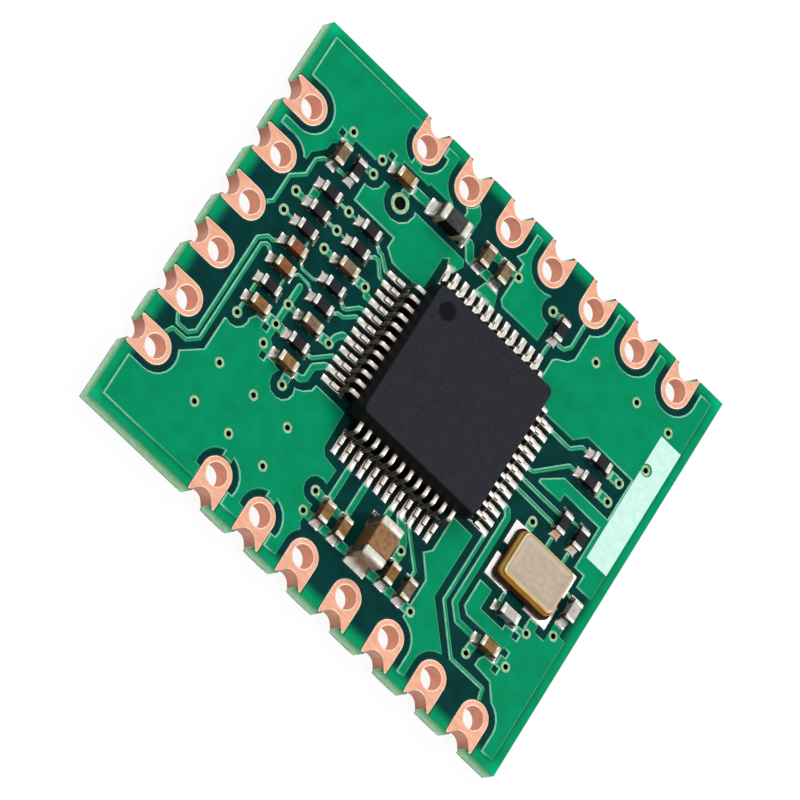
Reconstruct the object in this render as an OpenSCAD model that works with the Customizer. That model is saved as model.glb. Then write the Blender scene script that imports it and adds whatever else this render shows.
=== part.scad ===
// Network interface module: a castellated circuit board with one gull-wing chip, a crystal and chip passives.
// Frame: origin at the centre of the board's underside, +X along the long side, +Z out of the component side.

/* [Board] */
// Length of the board
board_l = 23.8; // [22:0.1:30]
// Width of the board
board_w = 19.8; // [19:0.1:26]
// Thickness of the board with its outer copper
board_t = 0.8; // [0.6:0.1:1.6]
// Thickness of each outer copper layer
copper_t = 0.03; // [0.02:0.005:0.07]
// Thickness of the solder mask over copper
mask_t = 0.025; // [0.015:0.005:0.05]
// Gap between a land and the edge of its window in the mask
mask_window = 0.05; // [0.03:0.01:0.08]
// Distance from the board's edge to the copper areas
pour_inset = 0.43; // [0.3:0.01:0.6]

/* [Edge pads] */
// Spacing of the pads in each row
pad_pitch = 2.54; // [2.2:0.01:2.6]
// Number of pads in each long row
long_row_pads = 7; // [3:1:7]
// Number of pads in the short row
short_row_pads = 6; // [2:1:6]
// Width of a pad
pad_w = 1.5; // [1.3:0.05:1.7]
// Diameter of the header hole and of the half-hole in the edge
hole_d = 1; // [0.8:0.05:1.05]
// Thickness of the plating in the holes
plating = 0.04; // [0.02:0.01:0.05]
// First pad of each long row, from the board's centre
long_row_x = -5.48; // [-6:0.02:-5]
// Header hole's distance from the edge in the far long row
far_inset = 1.12; // [1.12:0.02:1.4]
// Header hole's distance from the edge in the near long row
near_inset = 1.28; // [1.12:0.02:1.4]
// Header hole's distance from the edge in the short row
short_inset = 1.22; // [1.12:0.02:1.4]
// Gap between a pad and the copper area round it
pad_gap = 0.32; // [0.2:0.02:0.4]
// Width of the copper spoke into a ground pad
spoke_w = 0.5; // [0.3:0.05:0.7]

/* [Vias] */
// Drill diameter of a small via
via_d = 0.24; // [0.2:0.02:0.3]
// Diameter of a small via's ring
via_ring_d = 0.48; // [0.44:0.02:0.56]
// Drill diameter of the supply via
big_via_d = 0.56; // [0.4:0.02:0.6]
// Diameter of the supply via's ring
big_via_ring_d = 0.9; // [0.76:0.02:1]
// Gap between a via and the copper area round it
via_gap = 0.34; // [0.2:0.02:0.4]

/* [Chip] */
// Centre of the chip along the board
chip_x = 1; // [0.6:0.1:1.4]
// Centre of the chip across the board
chip_y = 0.6; // [0.2:0.1:1]
// Width of the square body at its parting line
chip_w = 7; // [6.4:0.1:7.2]
// Height of the body
chip_h = 1.4; // [1:0.1:1.6]
// Radius of the body's upright corners at its parting line
chip_r = 0.36; // [0.1:0.02:0.45]
// Draft of the body on each side, at the top and the bottom
chip_draft = 0.15; // [0.05:0.01:0.25]
// Space under the body
chip_standoff = 0.1; // [0.05:0.05:0.2]
// Diameter of the pin one dimple
dimple_d = 0.9; // [0.5:0.1:1.2]
// Depth of the pin one dimple
dimple_depth = 0.06; // [0.02:0.02:0.2]
// Distance of the dimple from the body's sides
dimple_inset = 0.98; // [0.8:0.02:1.4]
// Leads on each side
side_leads = 12; // [4:1:12]
// Spacing of the leads
lead_pitch = 0.5; // [0.45:0.01:0.5]
// Width of a lead
lead_w = 0.22; // [0.16:0.01:0.26]
// Thickness of a lead
lead_t = 0.13; // [0.09:0.01:0.18]
// Reach of a lead from the body to its toe
lead_reach = 1; // [0.8:0.05:1.1]
// Length of the level shoulder of a lead
shoulder_l = 0.42; // [0.3:0.02:0.46]
// Length of the foot of a lead
foot_l = 0.45; // [0.35:0.02:0.48]
// Width of a lead's land
lead_land_w = 0.28; // [0.24:0.01:0.32]
// Length of a lead's land
lead_land_l = 1.2; // [0.9:0.05:1.3]
// Length of a land that shows beyond the toe
lead_land_toe = 0.45; // [0.2:0.05:0.5]
// Thickness of the solder on the lands
solder_t = 0.03; // [0.02:0.005:0.05]

/* [Crystal] */
// Centre of the crystal along the board
crystal_x = 8.55; // [8.3:0.05:8.8]
// Centre of the crystal across the board
crystal_y = -2.1; // [-2.3:0.05:-1.9]
// Length of the crystal's base
crystal_l = 3.2; // [2.8:0.1:3.4]
// Width of the crystal's base
crystal_w = 2.5; // [2.2:0.1:2.7]
// Height of the ceramic base
crystal_base_h = 0.2; // [0.15:0.05:0.4]
// Height of the seal ring
crystal_ring_h = 0.34; // [0.2:0.02:0.5]
// Thickness of the lid
crystal_lid_h = 0.12; // [0.08:0.02:0.2]
// Step from the base in to the seal ring
crystal_step = 0.1; // [0.05:0.05:0.2]
// Step from the seal ring in to the lid
crystal_lid_step = 0.05; // [0.02:0.01:0.1]
// Corner radius of the crystal's base
crystal_r = 0.22; // [0.1:0.02:0.3]
// Length of each of the crystal's lands
crystal_land_l = 1.33; // [1:0.01:1.4]
// Width of each of the crystal's lands
crystal_land_w = 1.16; // [0.9:0.02:1.2]
// Length of the crystal's lands that shows beyond the ends of the base
crystal_land_toe = 0.23; // [0.1:0.01:0.3]
// Width of the crystal's lands that shows beyond the sides of the base
crystal_land_side = 0.155; // [0.05:0.005:0.25]

/* [Small passives] */
// Length of a small resistor or capacitor
case_l = 1; // [0.9:0.05:1.1]
// Width of a small resistor or capacitor
case_w = 0.5; // [0.4:0.02:0.56]
// Height of a resistor
resistor_h = 0.35; // [0.3:0.01:0.4]
// Height of a small capacitor
capacitor_h = 0.5; // [0.4:0.02:0.56]
// Length of each plated end
end_l = 0.24; // [0.15:0.01:0.3]
// Height that the plated ends stand above the body
end_lip = 0.02; // [0.01:0.01:0.04]
// Length of a land beyond the plated end
land_toe = 0.23; // [0.15:0.01:0.26]
// Length of a land
land_l = 0.53; // [0.4:0.01:0.6]
// X of the outer column of passives
outer_column_x = -8.07; // [-8.2:0.01:-7.95]
// X of the inner column of passives
inner_column_x = -5.7; // [-5.75:0.01:-5.6]
// Y of the first row in the two columns
column_y = 4.06; // [4:0.01:4.1]
// Spacing of the rows in the two columns
column_pitch = 1; // [0.9:0.01:1.02]

/* [Large passives] */
// Length of the bulk capacitor
bulk_l = 2; // [1.8:0.05:2.2]
// Width of the bulk capacitor
bulk_w = 1.2; // [1:0.05:1.3]
// Height of the bulk capacitor
bulk_h = 1.15; // [0.8:0.05:1.3]
// Length of each plated end of the bulk capacitor
bulk_end_l = 0.48; // [0.3:0.02:0.6]
// Length of the ferrite bead
bead_l = 1.6; // [1.5:0.05:1.7]
// Width of the ferrite bead
bead_w = 0.8; // [0.7:0.05:0.9]
// Height of the ferrite bead
bead_h = 0.75; // [0.6:0.05:0.9]
// Length of each plated end of the ferrite bead
bead_end_l = 0.34; // [0.2:0.02:0.4]
// Length of a land beyond these plated ends
large_toe = 0.33; // [0.2:0.01:0.4]
// Length of a land under these plated ends
large_land_l = 0.8; // [0.6:0.02:0.85]

/* [Label] */
// Length of the white label field
label_l = 6.5; // [4:0.1:7]
// Width of the white label field
label_w = 1.2; // [0.8:0.05:1.3]
// Centre of the label field across the board
label_y = 3.5; // [3:0.1:4]
// Thickness of the white ink
ink_t = 0.02; // [0.01:0.005:0.04]

/* [Hidden] */
// Smoothness of drilled holes, and of the rounded ends of tracks
$fn = 32;
track_fn = 8;
corner_fn = 24;
ring_fn = 12;
pad_fn = 24;
// Overlap of cutting tools past the faces that they cut
past = 0.5;

half_l = board_l / 2;
half_w = board_w / 2;
// Underside and top of the upper copper layer, and top of the mask over it
copper_z = board_t - copper_t;
land_z = board_t;
mask_z = board_t + mask_t;

// Edges of the copper areas along the board's rim
rim_l = -half_l + pour_inset;
rim_r = half_l - pour_inset;
rim_far = half_w - pour_inset;
rim_near = -half_w + pour_inset;

// Hole centres of the pad rows
far_y = half_w - far_inset;
near_y = -half_w + near_inset;
short_x = -half_l + short_inset;
long_xs = [for (i = [0:long_row_pads - 1]) long_row_x + i * pad_pitch];
short_ys = [for (i = [0:short_row_pads - 1]) ((short_row_pads - 1) / 2 - i) * pad_pitch];
// Pads that join the ground area by a spoke, counted from the left of each long row
far_ground = [0];
near_ground = [0, 1];

// Places of the passives: X, Y and turn
function column_row(x, row) = [x, column_y - row * column_pitch, 0];
function outer(row) = column_row(outer_column_x, row);
function inner(row) = column_row(inner_column_x, row);
resistors = [
    outer(0), outer(1), outer(2), outer(5),
    inner(0), inner(1), inner(3), inner(4), inner(6),
    [-7.6, 5.6, 90], [3.8, 6.9, 90],
    [8.5, 3.8, 0], [8.5, 2.8, 0], [8.5, 0.55, 90], [9.5, 0.55, 90]
];
capacitors = [
    outer(3), outer(4), outer(6),
    inner(2), inner(5), inner(7),
    [-8.6, 5.6, 90], [-5.7, 6.9, 0], [-0.8, 6.9, 90], [0.25, 6.9, 90], [8.5, -5.95, 0],
    [-0.75, -6.65, 90], [0.25, -6.65, 90], [3.1, -6.65, 90], [4.1, -6.65, 90]
];
load_capacitors = [[8.5, -4.25, 0], [10.87, -2.15, 90]];
bulk_place = [1.73, -6.22, 90];
bead_place = [-2.95, 6.9, 0];

// Centre of a land on one side of a passive, and the lands of the listed parts by number
function land_at(place, offset) = [
    place[0] + offset * cos(place[2]),
    place[1] + offset * sin(place[2])
];
small_land_x = case_l / 2 + land_toe - land_l / 2;
bulk_land_x = bulk_l / 2 + large_toe - large_land_l / 2;
bead_land_x = bead_l / 2 + large_toe - large_land_l / 2;
function res(i, side) = land_at(resistors[i], side * small_land_x);
function cap(i, side) = land_at(capacitors[i], side * small_land_x);
function load(i, side) = land_at(load_capacitors[i], side * small_land_x);
bulk_far = land_at(bulk_place, bulk_land_x);
bead_left = land_at(bead_place, -bead_land_x);
bead_right = land_at(bead_place, bead_land_x);

// Outer ends of the chip's lands, counted from the left and from the far side; tracks lap onto them
lap = 0.1;
land_reach = chip_w / 2 + lead_reach + lead_land_toe;
function lead_at(i) = (i - (side_leads - 1) / 2) * lead_pitch;
function left_lead(i) = [chip_x - land_reach + lap, chip_y - lead_at(i)];
function right_lead(i) = [chip_x + land_reach - lap, chip_y - lead_at(i)];
function far_lead(i) = [chip_x + lead_at(i), chip_y + land_reach - lap];
function near_lead(i) = [chip_x + lead_at(i), chip_y - land_reach + lap];

// Crystal land centres, from the crystal's own centre
crystal_land_x = crystal_l / 2 + crystal_land_toe - crystal_land_l / 2;
crystal_land_y = crystal_w / 2 + crystal_land_side - crystal_land_w / 2;
function crystal_land(sx, sy) = [crystal_x + sx * crystal_land_x, crystal_y + sy * crystal_land_y];

// Vias in the open ground areas, and vias that end a track
ground_vias = [
    [-8.57, 6.88], [-6.85, 6.88], [6, 7.1], [8.53, 7.1], [10.48, 7.1], [10.5, 5.1],
    [-8, -4.92], [-6, -4.92], [-4, -4.92], [-8, -6.94], [-6, -6.94], [-4, -6.94],
    [-1.48, -7.12], [4.88, -7.1], [1.03, 7.41], [10.88, -3.41], [9.78, -4.18], [9.78, -5.93],
    [-6.87, -2.92]
];
track_vias = [
    [-6.85, 6.12], [3.15, 7.4], [-6.85, 4.09], [-6.85, 3.09], [-6.88, 2.09],
    [-9.28, 3.09], [-9.28, 2.09], [-4.47, 2.12], [-4.47, -0.88], [9.78, 3.8], [9.78, 2.8],
    [7.38, -0.27], [-6.86, -0.88], [-6.86, -1.9], [-8.55, -2.73], [-5.2, -3.7],
    [-1.48, -6.1], [3.1, -5.4], [7.95, -6.72]
];
big_via = [-5.17, 6.02];
vias = concat(ground_vias, track_vias);

// Least width that etching and printing leave, and the clearance of the lower mask from coated copper
least = 0.05;
film_gap = 0.002;

// Track widths
fine = 0.12;
thin = 0.17;
wide = 0.3;
strap = 0.42;
supply = 0.7;

// Tracks: width, then the points along the middle
tracks = [
    // From the short row of pads into the columns
    [thin, [[short_x, short_ys[2]], [-10.1, 1.8], [-9.87, 2.05], [-9.87, 3.4], [-9.3, 3.95], [-9.3, 4.75],
        [-9.02, 5.05], cap(6, -1), res(9, -1)]],
    [thin, [[short_x, short_ys[4]], [-10.68, -4.55], [-10.45, -4.93], [-9.87, -4.93], [-9.58, -4.62],
        [-9.58, 0.35], [-9.22, 0.72], [-8.95, 0.72], cap(0, -1)]],
    [thin, [[short_x, short_ys[5]], [-10.68, -5.6], [-10.5, -5.25], [-9.75, -5.22], [-9.28, -4.75],
        [-9.28, 0.25], [-9.1, 0.42], [-8.95, 0.42], cap(1, -1)]],
    // Between the two columns
    [fine, [cap(0, 1), [-7.2, 0.72], [-6.55, 0.72], res(6, -1)]],
    [fine, [cap(1, 1), [-7.2, 0.42], [-6.6, 0.42], res(7, -1)]],
    [fine, [res(0, 1), track_vias[2], res(4, -1)]],
    [fine, [res(1, 1), track_vias[3], res(5, -1)]],
    [fine, [res(2, 1), cap(0, 1)]],
    [fine, [cap(1, 1), res(3, 1)]],
    [strap, [res(0, -1), res(1, -1)]],
    [wide, [track_vias[5], res(1, -1)]],
    [fine, [track_vias[6], res(2, -1)]],
    [wide, [track_vias[4], cap(3, -1)]],
    [thin, [res(3, -1), cap(2, -1), track_vias[14]]],
    [wide, [[-6.86, 0.05], ground_vias[18], cap(5, -1)]],
    [wide, [track_vias[12], cap(4, -1)]],
    [strap, [cap(2, 1), track_vias[13], res(8, -1)]],
    [wide, [track_vias[0], res(9, 1)]],
    // From the inner column to the chip's left leads
    [thin, [res(4, 1), [-4.8, 3.74], [-4.6, 3.72], [-4.1, 3.3], left_lead(0)]],
    [thin, [res(5, 1), [-4.8, 3.42], [-4.6, 3.42], [-4.2, 2.95], left_lead(1)]],
    [strap, [cap(3, 1), track_vias[7]]],
    [wide, [track_vias[7], [-4.25, 1.86], left_lead(3)]],
    [thin, [res(6, 1), [-4.8, 0.74], [-4.65, 0.76], [-4.2, 1.24], left_lead(4)]],
    [thin, [res(7, 1), [-4.85, 0.38], [-4.55, 0.42], [-4.1, 0.86], left_lead(5)]],
    [wide, [left_lead(7), [-4.15, -0.18], [-4.35, -0.45], track_vias[8]]],
    [strap, [track_vias[8], cap(4, 1)]],
    [thin, [left_lead(9), [-4.05, -1.18], [-4.75, -1.9], res(8, 1)]],
    [wide, [left_lead(10), [-4.1, -1.75], [-4.5, -2.15], [-4.5, -2.75], [-4.7, -2.95], cap(5, 1)]],
    [strap, [cap(5, 1), track_vias[15]]],
    // Far side: supply filter and the link resistor
    [supply, [[-2.5, 8.4], [-2.13, 8.05], [-2.13, 7]]],
    [strap, [bead_left, cap(7, 1), big_via]],
    [strap, [bead_right, [-1.6, 6.9], [-1.25, 6.4], cap(8, -1), cap(9, -1)]],
    [strap, [cap(8, 1), cap(9, 1)]],
    [wide, [cap(9, 1), ground_vias[14]]],
    [thin, [[long_xs[4], far_y], [4.7, 6.8], [4.45, 6.45], res(10, -1)]],
    [thin, [res(10, -1), far_lead(11)]],
    [wide, [track_vias[1], res(10, 1)]],
    // Right side: link resistors and crystal
    [thin, [right_lead(0), [7.05, 3.34], [7.5, 3.8], res(11, -1)]],
    [thin, [right_lead(4), [6.2, 1.4], [7.45, 2.77], res(12, -1)]],
    [thin, [right_lead(5), [8.15, 0.84], res(13, 1)]],
    [thin, [right_lead(6), [8.15, 0.32], res(13, -1)]],
    [fine, [res(13, 1), res(14, 1)]],
    [thin, [res(13, -1), [8.5, -0.9], crystal_land(-1, 1)]],
    [thin, [res(14, -1), [9.5, -0.9], crystal_land(1, 1)]],
    [strap, [res(11, 1), track_vias[9]]],
    [strap, [res(12, 1), track_vias[10]]],
    [strap, [track_vias[11], [7.38, -1.2]]],
    [thin, [crystal_land(-1, -1), [8, -3.3], [8, -4.1], load(0, -1)]],
    [fine, [crystal_land(1, 1), load(1, 1)]],
    [wide, [right_lead(8), [6.12, -0.68], [6.32, -0.95], [6.32, -5.4], [6.85, -5.93], cap(10, -1)]],
    [strap, [cap(10, -1), track_vias[18]]],
    [thin, [right_lead(11), [5.87, -2.4], [5.87, -5.65], [7.5, -7.37], [9.4, -7.37], [long_xs[6], near_y]]],
    // Near side: supply capacitors and their ground strip
    [wide, [near_lead(2), cap(11, 1)]],
    [wide, [near_lead(4), cap(12, 1)]],
    [strap, [track_vias[16], cap(11, 1), cap(12, 1)]],
    [strap, [ground_vias[12], [4.85, -7.12]]],
    [wide, [near_lead(7), bulk_far]],
    [strap, [near_lead(8), [2.95, -5.05], track_vias[17], cap(13, 1)]],
    [strap, [bulk_far, [2.5, -4.8]]],
    [thin, [near_lead(9), [2.95, -4.5], [4.1, -5.65], cap(14, 1)]]
];

// Outlines of the copper areas, before the gaps round pads and vias are cut
pours = [
    // Ground at the far left
    [[rim_l, rim_far], [-3.2, rim_far], [-3.2, 7.62], [-4.5, 7.62], [-4.5, 7.5], [-6, 7.5], [-6, 7.1],
        [-6.75, 7.1], [-6.75, 6.65], [-8.3, 6.65], [-8.3, 6.2], [-8.9, 6.2], [-8.9, 5.95], [-9.1, 5.8],
        [-9.15, 5.45], [-9.65, 4.85], [-9.65, 4.45], [rim_l, 4.45]],
    // Supply at the chip's far left corner
    [[-6.95, 6.25], [-6.95, 4.65], [-4.6, 4.65], [-4.6, 4.15], [-4.05, 3.78], [-2.6, 3.78], [-2.28, 4],
        [-2.28, 5.55], [-2.05, 5.75], [-1.9, 5.4], [-1.55, 5.4], [-1.3, 5.95], [-1.45, 6.2], [-4.3, 6.2]],
    // Ground between the supply filter and the link resistor
    [[0.7, rim_far], [2, rim_far], [2.72, 7.8], [2.62, 7.4], [2.9, 6.85], [3.25, 6.85], [3.25, 5.88],
        [1.1, 5.88], [0.87, 6.1], [0.87, 8], [0.45, 8.05], [0.7, 8.5]],
    // Supply fan to three far leads
    [cap(9, -1) + [-0.25, 0], cap(9, -1) + [0.25, 0], far_lead(5) + [0.12, 0], far_lead(3) - [0.12, 0]],
    // Ground at the right
    [[5.5, rim_far], [rim_r, rim_far], [rim_r, -1.05], [10.6, -1.05], [10.6, -0.45], [10.05, -0.45],
        [10.05, 1.65], [7.95, 1.65], [7.95, 1.25], [6.65, 1.25], [6.65, 1.42], [7.55, 2.2], [10.2, 2.2],
        [10.2, 4.3], [7.5, 4.3], [6.95, 3.72], [5.35, 3.72], [4.25, 4.4], [4.25, 5.75], [4.4, 5.92],
        [4.9, 6.2], [5.1, 6.5], [5.1, 7.85], [5.5, 8.2]],
    // Ground at the near right
    [[6.75, -3.85], [7.45, -3.85], [7.45, -4.8], [8.75, -4.8], [8.75, -4.2], [9.55, -4.2], [9.55, -3.2],
        [10.05, -3.2], [10.05, -3.88], [10.6, -3.88], [10.6, -2.7], [11.1, -2.7], [11.1, -3.25],
        [rim_r, -3.25], [rim_r, rim_near], [10, rim_near], [10.25, -7.8], [9.5, -6.93],
        [8.55, -6.85], [8.55, -6.5], [8.8, -6.1], [9.3, -6.1], [9.3, -5.45], [7.05, -5.45], [6.75, -5.2]],
    // Ground between the chip and the long near track
    [[4.25, -2.65], [5.42, -2.65], [5.42, -5.85], [7.05, -7.5], [6.6, rim_near], [5, rim_near],
        [5, -7.6], [4.7, -7.5], [4.7, -5.6], [3.95, -4.75], [4.25, -4.4]],
    // Ground at the near left
    [[rim_l, rim_near], [-1, rim_near], [-1.15, -7.8], [-1.33, -7.6], [-1.2, -4.8], [-1.95, -4.7],
        [-2.2, -4.4], [-2.25, -2.65], [-3.95, -2.65], [-4, -2.95], [-4.3, -3.25], [-4.6, -3.4],
        [-5.9, -3.3], [-6.2, -2.9], [-6.8, -2.5], [-7.05, -2.1], [-7.7, -2.1], [-8, -2.6], [-8.1, -3],
        [-8.88, -3.3], [-8.88, -4.95], [-9.95, -5.95], [rim_l, -6.9]]
];
// Gaps that leave spokes beside the grounded lands: lower corners
notch = 0.3;
notches = [
    [-6.75, 7.17], [-9.12, 6.35], [9.27, -4.77], [9.27, -5.67], [9.27, -6.5], [-7.32, -2.48], [-6.77, -3.5]
];
// Vias that a copper area keeps clear of
cleared_vias = [0, 1, 7, 8, 14, 15, 16];

resistor_names = [for (i = [1:len(resistors)]) str("resistor_", i)];
capacitor_names = [for (i = [1:len(capacitors)]) str("capacitor_", i)];
load_names = [for (i = [1:len(load_capacitors)]) str("load_capacitor_", i)];

// Flat shapes

module board_outline() {
    square([board_l, board_w], center = true);
}

// A band of even width along points, with round joints and, if wanted, round ends
module track(points, width, round_ends = true) {
    last = len(points) - 1;
    for (i = [0:last - 1]) {
        step = points[i + 1] - points[i];
        translate(points[i]) rotate(atan2(step[1], step[0]))
            translate([0, -width / 2]) square([norm(step), width]);
    }
    for (i = [round_ends ? 0 : 1:round_ends ? last : last - 1])
        translate(points[i]) circle(d = width);
}

module rounded_rect(length, width, radius) {
    offset(r = radius) square([length - 2 * radius, width - 2 * radius], center = true);
}

// A pad seen from above: its hole is at the origin and the board's edge lies towards -X
module pad_opening(inset, grow = 0) {
    circle(d = (pad_w + 2 * grow) / cos(180 / pad_fn), $fn = pad_fn);
    translate([-inset, -pad_w / 2 - grow]) square([inset, pad_w + 2 * grow]);
}

module pad_outline(inset) {
    circle(d = pad_w);
    translate([-inset, -pad_w / 2]) square([inset, pad_w]);
}

module pad_bores(inset, diameter) {
    circle(d = diameter);
    translate([-inset, 0]) circle(d = diameter);
}

// The gap round a ground pad, broken by its spoke and closed towards the board's edge past its hole
relief_back = 0.24;
module relief() {
    reach = pad_w / 2 + pad_gap;
    intersection() {
        difference() {
            circle(r = reach, $fn = pad_fn);
            circle(d = pad_w, $fn = pad_fn);
            translate([0, -spoke_w / 2]) square([2 * reach, spoke_w]);
        }
        translate([-relief_back, -reach]) square([2 * reach, 2 * reach]);
    }
}

module far_row(only) {
    for (i = only) translate([long_xs[i], far_y]) rotate(-90) children();
}

module near_row(only) {
    for (i = only) translate([long_xs[i], near_y]) rotate(90) children();
}

module left_row() {
    for (y = short_ys) translate([short_x, y]) children();
}

long_all = [for (i = [0:long_row_pads - 1]) i];
function without(all, some) = [for (i = all) if (len(search(i, some)) == 0) i];
function within(all, some) = [for (i = all) if (len(search(i, some)) > 0) i];

module all_pads(grow = 0) {
    far_row(long_all) pad_opening(far_inset, grow);
    near_row(long_all) pad_opening(near_inset, grow);
    left_row() pad_opening(short_inset, grow);
}

module all_bores(diameter) {
    far_row(long_all) pad_bores(far_inset, diameter);
    near_row(long_all) pad_bores(near_inset, diameter);
    left_row() pad_bores(short_inset, diameter);
}

module pad_gaps() {
    far_row(without(long_all, far_ground)) pad_opening(far_inset, pad_gap);
    far_row(within(long_all, far_ground)) relief();
    near_row(without(long_all, near_ground)) pad_opening(near_inset, pad_gap);
    near_row(within(long_all, near_ground)) relief();
    left_row() pad_opening(short_inset, pad_gap);
}

module via_gaps() {
    for (i = cleared_vias) translate(track_vias[i]) ring_opening(via_ring_d + 2 * via_gap);
    translate(big_via) ring_opening(big_via_ring_d + 2 * via_gap);
}

// Flat-sided openings, drawn just outside the round rings that they clear
module ring_opening(diameter) {
    circle(d = diameter / cos(180 / ring_fn), $fn = ring_fn);
}

module via_rings() {
    for (place = vias) translate(place) ring_opening(via_ring_d);
    translate(big_via) ring_opening(big_via_ring_d);
}

// The two lands of a passive that lies along X
module land_pair(land_x, length, width) {
    for (side = [-1, 1]) translate([side * land_x, 0]) square([length, width], center = true);
}

module placed(place) {
    translate([place[0], place[1]]) rotate(place[2]) children();
}

module small_parts() {
    for (place = concat(resistors, capacitors, load_capacitors)) placed(place) children();
}

module passive_lands() {
    small_parts() land_pair(small_land_x, land_l, case_w);
    placed(bulk_place) land_pair(bulk_land_x, large_land_l, bulk_w);
    placed(bead_place) land_pair(bead_land_x, large_land_l, bead_w);
}

// Repeats a lead or land that points along +X round one side of the chip
module lead_row(turn) {
    for (i = [0:side_leads - 1])
        translate([chip_x, chip_y]) rotate(turn) translate([0, lead_at(i)]) children();
}

module lead_lands() {
    for (turn = [0, 90, 180, 270]) lead_row(turn) lead_land();
}

module lead_land() {
    translate([land_reach - lead_land_l, -lead_land_w / 2]) square([lead_land_l, lead_land_w]);
}

module crystal_lands() {
    for (sx = [-1, 1], sy = [-1, 1])
        translate(crystal_land(sx, sy)) square([crystal_land_l, crystal_land_w], center = true);
}

module all_lands() {
    passive_lands();
    lead_lands();
    crystal_lands();
}

// Copper under the mask: areas and tracks
module covered_copper() {
    difference() {
        for (outline = pours) polygon(outline);
        pad_gaps();
        via_gaps();
        for (corner = notches) translate(corner) square(notch);
    }
    for (line = tracks) track(line[1], line[0], $fn = track_fn);
}

// What stays bare: the lands, pads and via rings, each in its window of the mask
module windows(grow) {
    offset(delta = grow) all_lands();
    all_pads(grow);
    via_rings();
}

// Drops slivers too narrow to be etched or printed
module etched() {
    offset(delta = least / 2) offset(delta = -least / 2) children();
}

// Circuit board

module laminate() {
    color("khaki") translate([0, 0, copper_t]) linear_extrude(board_t - 2 * copper_t) difference() {
        board_outline();
        all_bores(hole_d + 2 * plating);
        for (place = vias) translate(place) circle(d = via_d + 2 * plating);
        translate(big_via) circle(d = big_via_d + 2 * plating);
    }
}

// The lands and the ends of tracks that show in the windows of the mask
module bare_copper() {
    color("darkgoldenrod") translate([0, 0, copper_z]) linear_extrude(copper_t) etched() difference() {
        intersection() {
            union() {
                covered_copper();
                all_lands();
            }
            windows(mask_window);
            board_outline();
        }
        all_pads();
        via_rings();
    }
}

// Outline of the copper that stays under the mask
module coated_outline() {
    etched() difference() {
        covered_copper();
        windows(mask_window);
    }
}

// Tracks and areas with the mask that covers them, one step higher than the mask on bare laminate
module coated_copper() {
    color("seagreen") translate([0, 0, copper_z]) linear_extrude(copper_t + mask_t) coated_outline();
}

// The film fills what the copper leaves, so the copper's own outline is cut from it last
module top_mask() {
    color("darkslategray") translate([0, 0, copper_z]) linear_extrude(copper_t) offset(delta = 0) difference() {
        etched() difference() {
            board_outline();
            offset(delta = film_gap) covered_copper();
            windows(mask_window);
        }
        coated_outline();
    }
}

module bottom_mask() {
    color("seagreen") linear_extrude(copper_t) etched() difference() {
        board_outline();
        all_pads(mask_window);
        via_rings();
    }
}

// A plated barrel through the board with a ring on each face
module via(drill, ring) {
    difference() {
        union() {
            cylinder(d = ring, h = copper_t);
            translate([0, 0, copper_z]) cylinder(d = ring, h = copper_t);
            cylinder(d = drill + 2 * plating, h = board_t);
        }
        translate([0, 0, -past]) cylinder(d = drill, h = board_t + 2 * past);
    }
}

module vias() {
    color("palegreen") {
        for (place = vias) translate(place) via(via_d, via_ring_d);
        translate(big_via) via(big_via_d, big_via_ring_d);
    }
}

// One castellated pad: a land on each face, a plated header hole and a plated half-hole in the board's edge
module edge_pad(inset) {
    color("lightsalmon") difference() {
        union() {
            for (z = [0, copper_z]) translate([0, 0, z]) linear_extrude(copper_t) pad_outline(inset);
            linear_extrude(board_t) pad_bores(inset, hole_d + 2 * plating);
        }
        translate([0, 0, -past]) linear_extrude(board_t + 2 * past) pad_bores(inset, hole_d);
        translate([-inset - pad_w, -pad_w, -past]) cube([pad_w, 2 * pad_w, board_t + 2 * past]);
    }
}

module edge_pads_far() {
    far_row(long_all) edge_pad(far_inset);
}

module edge_pads_near() {
    near_row(long_all) edge_pad(near_inset);
}

module edge_pads_left() {
    left_row() edge_pad(short_inset);
}

module label_field() {
    color("azure") translate([0, 0, mask_z]) linear_extrude(ink_t) difference() {
        translate([rim_r - label_w, label_y - label_l / 2]) square([label_w, label_l]);
        for (place = ground_vias) translate(place) circle(d = via_ring_d + 2 * mask_window);
    }
}

// Chip

module chip_half(height) {
    scale_to = (chip_w - 2 * chip_draft) / chip_w;
    linear_extrude(height, scale = scale_to) rounded_rect(chip_w, chip_w, chip_r, $fn = corner_fn);
}

module chip_body() {
    parting = chip_h / 2;
    dimple = chip_w / 2 - dimple_inset;
    color("dimgray") translate([chip_x, chip_y, land_z + solder_t + chip_standoff]) difference() {
        union() {
            translate([0, 0, parting]) chip_half(chip_h - parting);
            translate([0, 0, parting]) rotate([180, 0, 0]) chip_half(parting);
        }
        translate([-dimple, dimple, chip_h - dimple_depth]) cylinder(d = dimple_d, h = dimple_depth + past);
    }
}

// A gull-wing lead along +X: level shoulder, steep leg and foot, seated against the body's side
module lead() {
    body_side = chip_w / 2;
    toe = body_side + lead_reach;
    mid = lead_t / 2;
    shoulder_z = chip_standoff + chip_h / 2;
    profile = [
        [body_side, shoulder_z], [body_side + shoulder_l, shoulder_z],
        [toe - foot_l, mid], [toe, mid]
    ];
    translate([0, lead_w / 2, land_z + solder_t]) rotate([90, 0, 0])
        linear_extrude(lead_w) track(profile, lead_t, round_ends = false);
}

module chip_leads_left() {
    color("silver") lead_row(180) lead();
}

module chip_leads_right() {
    color("silver") lead_row(0) lead();
}

module chip_leads_far() {
    color("silver") lead_row(90) lead();
}

module chip_leads_near() {
    color("silver") lead_row(270) lead();
}

module chip_solder() {
    color("gainsboro") translate([0, 0, land_z]) linear_extrude(solder_t) lead_lands();
}

// Crystal

module crystal_layer(z, height, inset) {
    translate([crystal_x, crystal_y, land_z + solder_t + z]) linear_extrude(height)
        rounded_rect(crystal_l - 2 * inset, crystal_w - 2 * inset, crystal_r);
}

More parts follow.
